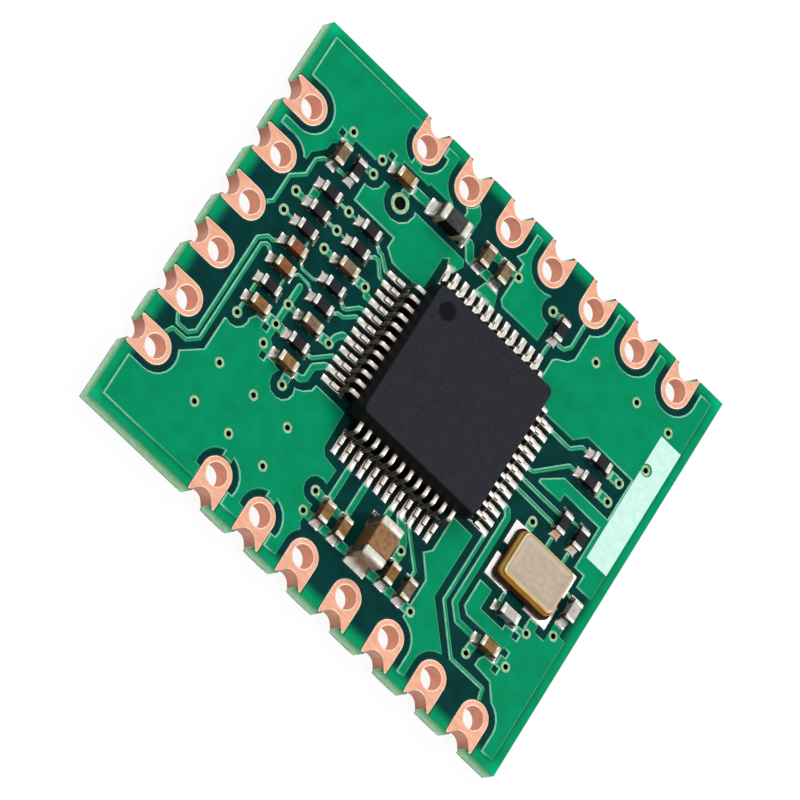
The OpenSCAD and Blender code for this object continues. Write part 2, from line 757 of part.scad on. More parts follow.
module crystal_base() {
    color("saddlebrown") crystal_layer(0, crystal_base_h, 0);
}

module crystal_ring() {
    color("goldenrod") crystal_layer(crystal_base_h, crystal_ring_h, crystal_step);
}

module crystal_lid() {
    color("tan") crystal_layer(crystal_base_h + crystal_ring_h, crystal_lid_h, crystal_step + crystal_lid_step);
}

module crystal_solder() {
    color("gainsboro") translate([0, 0, land_z]) linear_extrude(solder_t) crystal_lands();
}

// Passives

// A block between two plated ends that stand a little proud of it, lying along X on its lands
module passive(length, width, height, plated, body_colour) {
    body_l = length - 2 * plated;
    color(body_colour) translate([-body_l / 2, -width / 2 + end_lip, end_lip])
        cube([body_l, width - 2 * end_lip, height - 2 * end_lip]);
    color("gainsboro") for (side = [-1, 1])
        translate([side * (body_l + plated) / 2, 0, height / 2]) rotate([0, 90, 0])
            linear_extrude(plated, center = true) rounded_rect(height, width, 2 * end_lip, $fn = 12);
}

module on_board(place) {
    translate([place[0], place[1], land_z]) rotate(place[2]) children();
}

module resistor(i) {
    on_board(resistors[i]) passive(case_l, case_w, resistor_h, end_l, "black");
}

module capacitor(i) {
    on_board(capacitors[i]) passive(case_l, case_w, capacitor_h, end_l, "peru");
}

module load_capacitor(i) {
    on_board(load_capacitors[i]) passive(case_l, case_w, capacitor_h, end_l, "darkgray");
}

module bulk_capacitor() {
    on_board(bulk_place) passive(bulk_l, bulk_w, bulk_h, bulk_end_l, "rosybrown");
}

module ferrite_bead() {
    on_board(bead_place) passive(bead_l, bead_w, bead_h, bead_end_l, "black");
}

// Hollow solder fillets between the plated ends and the lands' outer ends, thinned to a lip
fillet_lip = 0.01;
module fillet_pair(length, width, size) {
    for (turn = [0, 180]) rotate(turn) translate([length / 2, width / 2, 0]) rotate([90, 0, 0])
        linear_extrude(width) difference() {
            square(size);
            translate([size, size]) circle(r = size - fillet_lip);
        }
}

module solder_fillets() {
    color("gainsboro") {
        for (place = concat(resistors, capacitors, load_capacitors))
            on_board(place) fillet_pair(case_l, case_w, land_toe);
        on_board(bulk_place) fillet_pair(bulk_l, bulk_w, large_toe);
        on_board(bead_place) fillet_pair(bead_l, bead_w, large_toe);
    }
}

laminate();
bare_copper();
coated_copper();
top_mask();
bottom_mask();
vias();
label_field();
edge_pads_far();
edge_pads_near();
edge_pads_left();
chip_body();
chip_leads_left();
chip_leads_right();
chip_leads_far();
chip_leads_near();
chip_solder();
crystal_base();
crystal_ring();
crystal_lid();
crystal_solder();
bulk_capacitor();
ferrite_bead();
solder_fillets();
for (i = [0:len(resistors) - 1])
    resistor(i);
for (i = [0:len(capacitors) - 1])
    capacitor(i);
for (i = [0:len(load_capacitors) - 1])
    load_capacitor(i);
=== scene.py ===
"""Dresses a castellated network interface module: mask relief, pads, chip, crystal, passives and solder."""

from functools import cache
from math import radians

import bpy
import numpy as np
from bpy.props import FloatProperty, FloatVectorProperty, IntProperty, PointerProperty, StringProperty
from bpy.types import Operator, Panel, PropertyGroup
from mathutils import Matrix, Vector


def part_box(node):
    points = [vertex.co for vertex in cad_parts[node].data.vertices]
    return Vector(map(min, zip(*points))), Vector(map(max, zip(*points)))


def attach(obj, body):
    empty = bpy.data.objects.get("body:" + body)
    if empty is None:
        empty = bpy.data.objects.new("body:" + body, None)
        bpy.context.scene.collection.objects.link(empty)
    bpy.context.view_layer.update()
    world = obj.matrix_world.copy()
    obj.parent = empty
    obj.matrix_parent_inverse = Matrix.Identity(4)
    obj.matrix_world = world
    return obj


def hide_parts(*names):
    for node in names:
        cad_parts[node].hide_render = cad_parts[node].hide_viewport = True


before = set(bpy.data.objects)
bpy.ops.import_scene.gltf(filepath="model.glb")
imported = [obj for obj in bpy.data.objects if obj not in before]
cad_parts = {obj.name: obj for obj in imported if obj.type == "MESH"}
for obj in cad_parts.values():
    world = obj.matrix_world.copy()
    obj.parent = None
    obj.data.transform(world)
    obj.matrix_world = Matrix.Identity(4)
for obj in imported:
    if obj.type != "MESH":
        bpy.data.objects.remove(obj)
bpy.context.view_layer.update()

bl_info = {
    "name": "Network Module Dressing",
    "version": (1, 0, 0),
    "blender": (4, 5, 0),
    "location": "View3D > Sidebar > Module",
    "description": "Builds the finished surfaces of a castellated network interface module",
    "category": "Object",
}

MM = 0.001
# Smallest length or slope that is divided by
TINY = 1e-9
UP, LEFT, NEAR = (0, 0, 1), (-1, 0, 0), (0, -1, 0)

# Groups of CAD nodes that repeat
RESISTORS = [f"resistor_{i}" for i in range(1, 16)]
CAPACITORS = [f"capacitor_{i}" for i in range(1, 16)]
LOAD_CAPACITORS = [f"load_capacitor_{i}" for i in range(1, 3)]
# Rows of leads, with the turn that takes a lead along +X to its own side of the chip
LEAD_SIDES = {f"chip_leads_{side}": 90 * i for i, side in enumerate(("right", "far", "left", "near"))}
# Rows of pads: the turn that takes a pad whose board edge lies towards -X to its own edge, and the count
PAD_ROWS = {"edge_pads_left": (0, 6), "edge_pads_far": (-90, 7), "edge_pads_near": (90, 7)}
# Ceramic bodies: name, darker and lighter colour, then roughness and shade of the sides if unusual
CERAMICS = {
    "crystal_ceramic": ("Dark package ceramic", "#1D0F06", "#2B1A0E", 0.6),
    "resistor_coat": ("Resistor glass coat", "#0F0C12", "#1B171E", 0.5),
    "capacitor_ceramic": ("Brown capacitor ceramic", "#6E4B24", "#95703F"),
    "russet_ceramic": ("Russet capacitor ceramic", "#683B1E", "#915A36"),
    "tan_ceramic": ("Tan capacitor ceramic", "#64513C", "#8B765D"),
    "load_ceramic": ("Grey capacitor ceramic", "#A39F9C", "#C6C2BE"),
    "bulk_ceramic": ("Bulk capacitor ceramic", "#7B5435", "#9C7650"),
    "ferrite": ("Ferrite", "#323235", "#4B4B4E", 0.55, 0.25),
}
# Small capacitors that were fired to another tint than the rest
TINTS = {f"capacitor_{i}": "russet_ceramic" for i in (1, 2)}
TINTS |= {f"capacitor_{i}": "tan_ceramic" for i in (4, 5, 7, 9, 10, 15)}

# Lengths below are in millimetres
# Depth under the mask's top within which a corner lies on it
LEVEL_SLACK = 0.01
# Distance from a via ring's corners within which the mask shows no shoulder
RING_REACH = 0.07
# Distances from the board's edge between which the light through its laminate rises
GLOW_START, GLOW_FULL = 0.75, 0.12
# Painted shade among the chip's leads: its reach past the leads, its share of the leads' half width along a
# side, and half its soft edge
SHADE_REACH, SHADE_SHARE, SHADE_EDGE = 0.32, 0.62, 0.12
# Chip: inset and half height of the parting line, and the smallest corner radius
PARTING_INSET, PARTING_HALF, LEAST_CORNER = 0.004, 0.02, 0.03
# Dimple: share of its radius that is level, share that the mark fills, and the mark's rings as share and rise
BOWL_SHARE, MARK_SHARE, MARK_RINGS = 0.86, 0.9, ((1, -0.02), (1, 0.004), (0.5, 0.006))
# Length of a lead inside the chip's body
LEAD_TUCK = 0.1
# Solder at a lead, from the heel past the toe: way past the toe, height, and share of the width
TOE_BEAD = (
    (-0.72, 0.012, 0.86),
    (-0.62, 0.05, 0.96),
    (-0.5, 0.16, 1),
    (-0.4, 0.09, 1),
    (-0.05, 0.06, 1),
    (0.02, 0.05, 1),
    (0.1, 0.055, 1),
    (0.2, 0.05, 1),
)
# The same where the land ends, by the way past that end
LAND_BEAD = ((-0.06, 0.04, 0.96), (0, 0.015, 0.8))
# Crystal base and seal ring: share of the height and inset there, from the bottom up
BASE_PROFILE = ((0, 0.02), (0.1, 0), (1, 0))
RING_PROFILE = ((0, -0.02), (0.1, -0.02), (0.2, 0), (0.72, 0), (0.92, 0.03), (1, 0.05))
# Crystal lid: depth under its top and inset past its rounded edge
LID_DISH = ((0, 0.08), (0.012, 0.16), (0.012, 0.3))
# Solder at the crystal, from the end of a land: way in, height, and share of the width
JOINT_BEAD = ((0, 0.012, 0.9), (0.06, 0.035, 0.98))
# Length of a passive's body inside each plated end
BODY_TUCK = 0.03
# Height over which a passive is tall, and how many times larger its edges and solder toes then are
TALL_PART, TALL_EDGE, TALL_TOE = 0.6, 2, 1.45
# Distance of the floor under the board
FLOOR_GAP = 0.01


def node_box(name):
    """Lowest and highest corner of a CAD node, in millimetres."""
    low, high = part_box(name)
    return np.array(low) / MM, np.array(high) / MM


BOARD_LOW, BOARD_HIGH = node_box("laminate")
LAND_Z = node_box("bare_copper")[1][2]
MASK_Z = node_box("coated_copper")[1][2]
LEADS_LOW = np.min([node_box(side)[0] for side in LEAD_SIDES], axis=0)
LEADS_HIGH = np.max([node_box(side)[1] for side in LEAD_SIDES], axis=0)


def settings():
    """The module's settings in the open scene."""
    return bpy.context.scene.module_settings


# Colours and materials


def linear(code):
    """Linear RGBA of an sRGB hex colour."""
    srgb = np.array([int(code[i : i + 2], 16) for i in (1, 3, 5)]) / 255
    rgb = np.where(srgb <= 0.04045, srgb / 12.92, ((srgb + 0.055) / 1.055) ** 2.4)
    return (*map(float, rgb), 1.0)


def dimmed(code, share):
    """A hex colour with each of its channels scaled by a share."""
    return "#" + "".join(f"{round(share * int(code[i : i + 2], 16)):02X}" for i in (1, 3, 5))


def tones(name):
    """The darker and lighter colour of a main finish, from the settings."""
    return getattr(settings().tones, name).split()


def add_node(tree, kind, inputs=None, links=None, **options):
    """Adds a shader node, sets its options and input values, and links sockets into it."""
    node = tree.nodes.new("ShaderNode" + kind)
    for name, value in options.items():
        setattr(node, name, value)
    for socket, value in (inputs or {}).items():
        node.inputs[socket].default_value = value
    for socket, source in (links or {}).items():
        tree.links.new(source, node.inputs[socket])
    return node


def new_material(name):
    """An empty node material with its tree, its shader and the Object coordinates."""
    material = bpy.data.materials.new(name)
    material.use_nodes = True
    tree = material.node_tree
    place = add_node(tree, "TexCoord").outputs["Object"]
    return material, tree, tree.nodes["Principled BSDF"], place


def mottle(tree, place, grain_mm, dark, light, stretch=(1, 1, 1)):
    """A noise of the given grain size between two colours, and the noise's own value."""
    stretched = add_node(tree, "Mapping", {"Scale": stretch}, {"Vector": place})
    sizes = {"Scale": 1 / (grain_mm * MM), "Detail": 3.0}
    noise = add_node(tree, "TexNoise", sizes, {"Vector": stretched.outputs["Vector"]})
    ramp = add_node(tree, "ValToRGB", links={"Fac": noise.outputs["Fac"]})
    for stop, position, code in zip(ramp.color_ramp.elements, (0.3, 0.7), (dark, light), strict=True):
        stop.position = position
        stop.color = linear(code)
    return ramp.outputs["Color"], noise.outputs["Fac"]


def facing_mix(tree, way, turn, away, toward, either=False):
    """Mixes two colours between two shares of facing a direction, or of facing either way along it."""
    normal = add_node(tree, "NewGeometry").outputs["Normal"]
    share = add_node(tree, "VectorMath", {1: way}, {0: normal}, operation="DOT_PRODUCT")
    if either:
        share = add_node(tree, "Math", links={0: share.outputs["Value"]}, operation="ABSOLUTE")
    ends = {"From Min": turn[0], "From Max": turn[1]}
    eased = add_node(tree, "MapRange", ends, {"Value": share.outputs["Value"]})
    links = {"Factor": eased.outputs["Result"], 6: away, 7: toward}
    return add_node(tree, "Mix", links=links, data_type="RGBA").outputs[2]


def height_bands(tree, place, levels, bands, grain):
    """Colours that change with height, dulled by a grain: each band is a share of the way between the two
    levels and a hex colour."""
    parts = add_node(tree, "SeparateXYZ", links={"Vector": place})
    ends = {"From Min": levels[0] * MM, "From Max": levels[1] * MM}
    share = add_node(tree, "MapRange", ends, {"Value": parts.outputs["Z"]})
    ramp = add_node(tree, "ValToRGB", links={"Fac": share.outputs["Result"]})
    stops = ramp.color_ramp.elements
    stops[0].position, stops[1].position = bands[0][0], bands[-1][0]
    for position, _ in bands[1:-1]:
        stops.new(position)
    for stop, (_, code) in zip(stops, bands, strict=True):
        stop.color = linear(code)
    links = {6: ramp.outputs["Color"], 7: grain}
    dulled = add_node(tree, "Mix", {"Factor": 1.0}, links, data_type="RGBA", blend_type="MULTIPLY")
    return dulled.outputs[2]


def seen_rays(tree):
    """One for rays from the camera and for their reflections and refractions, and nothing for other light."""
    rays = add_node(tree, "LightPath")
    total = rays.outputs["Is Camera Ray"]
    for kind in ("Is Glossy Ray", "Is Transmission Ray"):
        larger = add_node(tree, "Math", links={0: total, 1: rays.outputs[kind]}, operation="MAXIMUM")
        total = larger.outputs["Value"]
    return total


def edge_glow(tree, place):
    """Shares of the light that comes up through the bare laminate: one at the board's rim and nothing further
    in, and one at its corners alone."""
    parts = add_node(tree, "SeparateXYZ", links={"Vector": place})
    ways = {}
    for number, (axis, half) in enumerate(zip("XY", BOARD_HIGH[:2], strict=True)):
        size = add_node(tree, "Math", links={0: parts.outputs[axis]}, operation="ABSOLUTE")
        ends = {"From Min": (half - GLOW_START) * MM, "From Max": (half - GLOW_FULL) * MM}
        links = {"Value": size.outputs["Value"]}
        near = add_node(tree, "MapRange", ends, links, interpolation_type="SMOOTHSTEP")
        ways[number] = near.outputs["Result"]
    kinds = ("MAXIMUM", "MULTIPLY")
    return [add_node(tree, "Math", links=ways, operation=kind).outputs["Value"] for kind in kinds]


def lead_gap_shade(tree, place):
    """One among the chip's leads and lands, where painted shade darkens the mask, and nothing beyond."""
    middle = (LEADS_LOW + LEADS_HIGH) / 2 * [MM, MM, 0]
    half = (LEADS_HIGH[0] - LEADS_LOW[0]) / 2
    offset = add_node(tree, "VectorMath", {1: middle}, {0: place}, operation="SUBTRACT")
    sizes = add_node(tree, "VectorMath", links={0: offset.outputs["Vector"]}, operation="ABSOLUTE")
    parts = add_node(tree, "SeparateXYZ", links={"Vector": sizes.outputs["Vector"]})
    ways = {0: parts.outputs["X"], 1: parts.outputs["Y"]}
    shares = {}
    limits = (("MAXIMUM", half + SHADE_REACH), ("MINIMUM", SHADE_SHARE * half))
    for number, (kind, limit) in enumerate(limits):
        size = add_node(tree, "Math", links=ways, operation=kind)
        ends = {"From Min": (limit + SHADE_EDGE) * MM, "From Max": (limit - SHADE_EDGE) * MM}
        links = {"Value": size.outputs["Value"]}
        share = add_node(tree, "MapRange", ends, links, interpolation_type="SMOOTHSTEP")
        shares[number] = share.outputs["Result"]
    return add_node(tree, "Math", links=shares, operation="MULTIPLY").outputs["Value"]


def finish(shader, **values):
    """Sets the shader's plain values by socket name, with underscores for spaces."""
    for name, value in values.items():
        shader.inputs[name.replace("_", " ")].default_value = value


def dress(tree, shader, colour, height, depth_mm, strength, **values):
    """Gives the shader its colour, a bump of the given depth and its plain values."""
    sizes = {"Strength": strength, "Distance": depth_mm * MM}
    bump = add_node(tree, "Bump", sizes, {"Height": height})
    tree.links.new(bump.outputs["Normal"], shader.inputs["Normal"])
    tree.links.new(colour, shader.inputs["Base Color"])
    finish(shader, **values)


def plain_finish(name, grain, depth_mm, strength, **values):
    """A material of one mottled colour, given as grain, dark and light, with a bump of the same grain."""
    material, tree, shader, place = new_material(name)
    colour, height = mottle(tree, place, *grain)
    dress(tree, shader, colour, height, depth_mm, strength, **values)
    return material


def turning_finish(name, turn, away, toward, depth_mm, strength, way=UP, either=False, **values):
    """A material that turns from one mottled colour to another between two shares of facing a direction.

    Both are given as grain, dark and light, and the bump has the grain of the second."""
    material, tree, shader, place = new_material(name)
    back, _ = mottle(tree, place, *away)
    front, height = mottle(tree, place, *toward)
    colour = facing_mix(tree, way, turn, back, front, either)
    dress(tree, shader, colour, height, depth_mm, strength, **values)
    return material


@cache
def mask_on_copper(dark, light):
    """Screened epoxy mask over copper: a clear green gloss with a slight orange peel."""
    gloss = {"Roughness": 0.34, "Specular_IOR_Level": 0.03}
    return plain_finish("Epoxy mask on copper", (0.9, dark, light), 0.006, 0.25, **gloss)


@cache
def mask_on_laminate(dark, light):
    """The same mask on bare laminate: nearly black teal, green along the rim where light passes through, and
    brown-black painted shade between the chip's leads."""
    material, tree, shader, place = new_material("Epoxy mask on laminate")
    colour, height = mottle(tree, place, 0.8, dark, light)
    rim, _ = mottle(tree, place, 0.8, "#008A58", "#009A67")
    corner, _ = mottle(tree, place, 0.8, "#00A873", "#00B883")
    # Brown-black painted shade among the chip's leads and lands
    painted_lead_shade, _ = mottle(tree, place, 0.3, "#0D0705", "#170D0A")
    shares = [*edge_glow(tree, place), lead_gap_shade(tree, place)]
    for share, layer in zip(shares, (rim, corner, painted_lead_shade), strict=True):
        mix = add_node(tree, "Mix", links={"Factor": share, 6: colour, 7: layer}, data_type="RGBA")
        colour = mix.outputs[2]
    dress(tree, shader, colour, height, 0.006, 0.25, Roughness=0.34, Specular_IOR_Level=0.03)
    return material


@cache
def mask_shoulder(dark, light):
    """Mask thinned over a copper edge: a pale green line where the slope faces the left, lost elsewhere. The
    line is partly copper showing through the thin mask and partly painted highlight on the side facing the
    light.
    """
    # The pale colour: copper under the thin mask, and painted highlight on slopes that face the left
    deep, pale = (0.9, dark, light), (0.4, "#6ABD9B", "#97D5B8")
    gloss = {"Roughness": 0.3, "Specular_IOR_Level": 0.03}
    name, way = "Thin mask on copper edge", (-0.95, 0.1, 0)
    return turning_finish(name, (-0.18, 0.16), deep, pale, 0.006, 0.25, way, **gloss)


@cache
def pad_copper(dark, light):
    """Copper under a clear preservative: satin salmon, paler on the rolled rims as a painted highlight, and
    dull brown painted shade down the hole walls at the board's edge."""
    material, tree, shader, place = new_material("Preserved copper")
    top, height = mottle(tree, place, 0.5, dark, light, stretch=(1, 3, 1))
    # Paler rolled rims: painted highlight
    rim, _ = mottle(tree, place, 0.5, "#E9B99C", "#F3CDB4")
    bore, _ = mottle(tree, place, 0.5, "#DE9A7C", "#EBAE90")
    # Dull brown painted shade on the hole walls near the board's edge
    half_hole_shade, _ = mottle(tree, place, 0.5, "#9C5C48", "#AE6C57")
    at_edge, _ = edge_glow(tree, place)
    walls = add_node(tree, "Mix", links={"Factor": at_edge, 6: bore, 7: half_hole_shade}, data_type="RGBA")
    sides = facing_mix(tree, UP, (0.2, 0.45), walls.outputs[2], rim, either=True)
    colour = facing_mix(tree, UP, (0.972, 0.99), sides, top, either=True)
    dress(tree, shader, colour, height, 0.003, 0.25, Metallic=0.25, Roughness=0.45)
    return material


@cache
def glass_epoxy():
    """Routed glass-epoxy edge: green light under the mask, then pale straw, then a dull lower arris."""
    material, tree, shader, place = new_material("Routed glass epoxy")
    grain, height = mottle(tree, place, 0.25, "#C4D0B4", "#FFFFFF", stretch=(1, 1, 4))
    bands = ((0.04, "#8FA592"), (0.14, "#CFF0D4"), (0.5, "#93DBAD"), (0.95, "#229E6A"))
    streaked = height_bands(tree, place, (0, LAND_Z), bands, grain)
    shaded, _ = mottle(tree, place, 0.4, "#0B3A31", "#0F463B")
    colour = facing_mix(tree, UP, (0.4, 0.6), streaked, shaded)
    dress(tree, shader, colour, height, 0.02, 0.4, Roughness=0.6, Specular_IOR_Level=0.3)
    return material


@cache
def tented_ring():
    """A via ring half covered by mask: pale straw metal round a bore that swallows the light."""
    bore, ring = (0.2, "#050806", "#0A110D"), (0.16, "#6FA57C", "#BAD5AA")
    gloss = {"Roughness": 0.45, "Specular_IOR_Level": 0.03}
    return turning_finish("Masked via ring", (0.4, 0.6), bore, ring, 0.004, 0.3, either=True, **gloss)


def white_metal(name, turn, steep, level, grain_mm, depth_mm, near=None, **values):
    """White metal that is pale where it lies level and dark on its steep flanks, which mirror the board.

    The turn from dark to pale lies between the two given shares of facing up. The flanks that face the near
    side may have colours of their own."""
    material, tree, shader, place = new_material(name)
    flank, _ = mottle(tree, place, grain_mm, *steep)
    if near:
        front, _ = mottle(tree, place, grain_mm, *near)
        flank = facing_mix(tree, NEAR, (0.3, 0.8), flank, front)
    flat, height = mottle(tree, place, grain_mm, *level)
    colour = facing_mix(tree, UP, turn, flank, flat)
    dress(tree, shader, colour, height, depth_mm, 0.4, **values)
    return material


@cache
def reflowed_solder(name="Reflowed solder", dark="#B8B3AC", light="#DBD6CF"):
    """Reflowed solder: bright and a little rippled, so that it takes hard highlights."""
    steep, level = ("#33271F", "#54453B"), (dark, light)
    return white_metal(name, (0.05, 0.68), steep, level, 0.25, 0.012, Metallic=0.85, Roughness=0.24)


@cache
def matt_tin(where, dark, light, near=None, metallic=0.8, rough=0.3):
    """Plated tin on ends and leads: white metal, dark where it bends down, with a satin grain that is drawn
    coarser than the real one so that it shows."""
    steep, gloss = ("#443E38", "#655D55"), {"Metallic": metallic, "Roughness": rough}
    name = f"Matt tin plate on {where}"
    return white_metal(name, (0.35, 0.92), steep, (dark, light), 0.2, 0.006, near, **gloss)


@cache
def white_ink(dark, light):
    """Screened white ink: slightly uneven, with a cool cast."""
    return plain_finish("Screened white ink", (0.3, dark, light), 0.006, 0.3, Roughness=0.55)


@cache
def chip_resin(dark, light):
    """Moulded epoxy of the chip: charcoal violet, with near-black painted shade down the drafted sides, and a
    spark-eroded grain that is drawn coarser than the real one so that it shows."""
    # The near-black sides are painted shade
    side, top = (0.2, "#050507", "#0A0A0D"), (0.12, dark, light)
    gloss = {"Roughness": 0.5, "Specular_IOR_Level": 0.1}
    return turning_finish("Moulded chip epoxy", (0.3, 0.85), side, top, 0.02, 0.5, **gloss)


@cache
def polished_resin():
    """The ejector mark in the chip's top: the same epoxy, smooth and blue-black."""
    gloss = {"Roughness": 0.45, "Specular_IOR_Level": 0.05}
    return plain_finish("Polished chip epoxy", (0.3, "#05070F", "#0B0E19"), 0.002, 0.2, **gloss)


@cache
def crystal_lid_metal(dark, light):
    """Rolled alloy lid: warm silver with faint brush lines, drawn coarser than the real ones so that they
    show, and gold plate down its rounded edge, orange on the near side and yellower where it faces the left
    as a painted highlight."""
    material, tree, shader, place = new_material("Brushed alloy lid")
    top, height = mottle(tree, place, 0.14, dark, light, stretch=(0.6, 1.6, 1))
    near, _ = mottle(tree, place, 0.5, "#E8A43C", "#FFC766")
    # Yellower gold facing the left: painted highlight
    left, _ = mottle(tree, place, 0.5, "#FFDD8E", "#FFEBB8")
    edge = facing_mix(tree, LEFT, (0.2, 0.6), near, left)
    colour = facing_mix(tree, UP, (0.82, 0.97), edge, top)
    dress(tree, shader, colour, height, 0.005, 0.4, Metallic=0.5, Roughness=0.42)
    return material


@cache
def gold_plate():
    """Thin gold on the seal ring: brown painted shade near the base, orange above, with a dark seam under the
    lid, and yellower where it faces the left as a painted highlight."""
    material, tree, shader, place = new_material("Gold plate")
    grain, height = mottle(tree, place, 0.5, "#E6DCCB", "#FFFFFF")
    levels = [corner[2] for corner in node_box("crystal_ring")]
    seam = (0.97, "#4A2C0C")
    # Brown low on the ring is painted shade; the bands that face the left are brighter as painted highlight
    brown = ((0, "#2E1B08"), (0.22, "#6B4212"), (0.5, "#F0952A"), (0.84, "#FFBC58"), seam)
    bright = ((0, "#8A4A10"), (0.22, "#E08E30"), (0.5, "#FFBC50"), (0.84, "#FFDC90"), seam)
    orange, yellow = (height_bands(tree, place, levels, bands, grain) for bands in (brown, bright))
    colour = facing_mix(tree, LEFT, (0.4, 0.9), orange, yellow)
    dress(tree, shader, colour, height, 0.004, 0.3, Metallic=0.3, Roughness=0.32)
    return material


@cache
def fired_ceramic(name, dark, light, rough=0.45, shade=0.7):
    """Fired ceramic: dense and matt, with a faint cloudiness, and darker by a share down its sides as painted
    shade.
    """
    side, top = (0.2, dimmed(dark, shade), dimmed(light, shade)), (0.2, dark, light)
    gloss = {"Roughness": rough, "Specular_IOR_Level": 0.2 * shade}
    return turning_finish(name, (0.4, 0.9), side, top, 0.006, 0.4, **gloss)


# Surfaces, in millimetres


def grid_faces(rows, columns, wrap_rows=False):
    """Quads of a grid of points that closes on itself along its columns, and along its rows if asked."""
    row, column = np.meshgrid(np.arange(rows if wrap_rows else rows - 1), np.arange(columns), indexing="ij")
    below = (row + 1) % rows
    right = (column + 1) % columns
    quads = (row * columns + column, row * columns + right, below * columns + right, below * columns + column)
    return np.stack(quads, -1).reshape(-1, 4)


def stack(rings):
    """A closed shell through rings of points, first to last, shut at both ends by fans to the rings' middles.

    Each ring runs anticlockwise seen from the last ring back to the first."""
    rings = np.asarray(rings, float)
    count, around, _ = rings.shape
    points = np.concatenate([rings.reshape(-1, 3), rings[[0, -1]].mean(axis=1)])
    here = np.arange(around)
    after = np.roll(here, -1)
    first = np.stack([np.full(around, count * around), after, here], -1)
    last_ring = (count - 1) * around
    last = np.stack([np.full(around, count * around + 1), last_ring + here, last_ring + after], -1)
    return points, [grid_faces(count, around), first, last]


def quarter_round(radius, steps):
    """Steps of a quarter circle from a wall to a top: ways in from the wall and drops from the top."""
    angle = np.linspace(0, np.pi / 2, steps)
    return radius * (1 - np.cos(angle)), radius * (1 - np.sin(angle))


def rounded_ring(length, width, radius, steps=5):
    """Points anticlockwise round a rectangle whose corners are quarter circles."""
    angle = np.linspace(0, np.pi / 2, steps)
    arc = radius * np.stack([np.cos(angle), np.sin(angle)], -1)
    corner = np.array([length / 2 - radius, width / 2 - radius])
    turned = [arc, arc[::-1] * [-1, 1], -arc, arc[::-1] * [1, -1]]
    signs = [[1, 1], [-1, 1], [-1, -1], [1, -1]]
    return np.concatenate([part + corner * sign for part, sign in zip(turned, signs, strict=True)])


def evened(ring, count):
    """A ring with its points spread evenly along its length."""
    closed = np.concatenate([ring, ring[:1]])
    along = np.concatenate([[0], np.cumsum(np.linalg.norm(np.diff(closed, axis=0), axis=1))])
    wanted = np.linspace(0, along[-1], count, endpoint=False)
    return np.stack([np.interp(wanted, along, closed[:, axis]) for axis in (0, 1)], -1)


def at_height(ring, z):
    """A flat ring lifted to a height."""
    return np.column_stack([ring, np.full(len(ring), z)])


def along_x(ring, x):
    """A ring drawn in Y and Z, moved along X."""
    return np.column_stack([np.full(len(ring), x), ring])


def rounded_bar(length, width, height, edge, low_x):
    """A bar along X with every edge rounded: rounded rectangles carried along X and drawn in at both ends
    by a quarter circle. It stands at height zero."""
    reach, inset = quarter_round(edge, steps=4)
    xs = np.concatenate([reach, length - reach[::-1]])
    insets = np.concatenate([inset, inset[::-1]])
    least_corner = 0.3 * edge
    rings = [
        along_x(rounded_ring(width - 2 * cut, height - 2 * cut, max(edge - cut, least_corner)), low_x + x)
        for x, cut in zip(xs, insets, strict=True)
    ]
    return placed(stack(rings), 0, 0, height / 2)


def placed(shell, x, y, z, turn=0):
    """A shell turned about Z and moved."""
    points, blocks = shell
    cos, sin = np.cos(radians(turn)), np.sin(radians(turn))
    turned = points @ np.array([[cos, sin, 0], [-sin, cos, 0], [0, 0, 1]])
    return turned + [x, y, z], blocks


def add_object(name, data):
    """A new object in the open scene."""
    thing = bpy.data.objects.new(name, data)
    bpy.context.scene.collection.objects.link(thing)
    return thing


def make_piece(name, layers, nodes, sharp=35):
    """Joins shells into one piece that stands for CAD nodes: each layer is a material and its shells, and
    each shell its points and its blocks of faces."""
    mesh = bpy.data.meshes.new(name)
    points, faces, numbers = [], [], []
    start = 0
    for number, (material, shells) in enumerate(layers):
        mesh.materials.append(material)
        for shell_points, blocks in shells:
            points.append(shell_points)
            for block in blocks:
                faces += (block + start).tolist()
                numbers += [number] * len(block)
            start += len(shell_points)
    mesh.from_pydata((np.concatenate(points) * MM).tolist(), [], faces)
    mesh.polygons.foreach_set("material_index", np.array(numbers, np.int32))
    mesh.polygons.foreach_set("use_smooth", np.ones(len(faces), bool))
    mesh.set_sharp_from_angle(angle=radians(sharp))
    mesh.validate()
    mesh.update()
    piece = add_object(name, mesh)
    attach(piece, "root")
    if nodes:
        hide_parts(*nodes)


def node_points(mesh):
    """The corners of a CAD node's mesh, in millimetres."""
    points = np.empty(len(mesh.vertices) * 3, np.float32)
    mesh.vertices.foreach_get("co", points)
    return points.reshape(-1, 3).astype(float) / MM


def copper_edges():
    """Flat points round the tops of the coated copper, the edges that only one top face has, without those
    at via rings, and the edges' outward normals."""
    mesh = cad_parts["coated_copper"].data
    points = node_points(mesh)
    mesh.calc_loop_triangles()
    corners = np.empty(len(mesh.loop_triangles) * 3, np.int32)
    mesh.loop_triangles.foreach_get("vertices", corners)
    flat, number = np.unique(np.round(points[:, :2], 4), axis=0, return_inverse=True)
    triangles = corners.reshape(-1, 3)
    on_top = (points[triangles][:, :, 2] > MASK_Z - LEVEL_SLACK).all(axis=1)
    tops = number.reshape(-1)[triangles[on_top]]
    edges = np.concatenate([tops[:, [0, 1]], tops[:, [1, 2]], tops[:, [2, 0]]])
    keys = edges[:, 0] * len(flat) + edges[:, 1]
    back = edges[:, 1] * len(flat) + edges[:, 0]
    edges = edges[~np.isin(keys, back)]
    middles = (flat[edges[:, 0]] + flat[edges[:, 1]]) / 2
    rings = np.unique(np.round(node_points(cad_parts["vias"].data)[:, :2], 3), axis=0)
    apart = np.linalg.norm(middles[:, None, :] - rings[None, :, :], axis=2).min(axis=1)
    edges = edges[apart > RING_REACH]
    step = flat[edges[:, 1]] - flat[edges[:, 0]]
    step /= np.linalg.norm(step, axis=1, keepdims=True)
    return flat, edges, np.stack([step[:, 1], -step[:, 0]], -1)


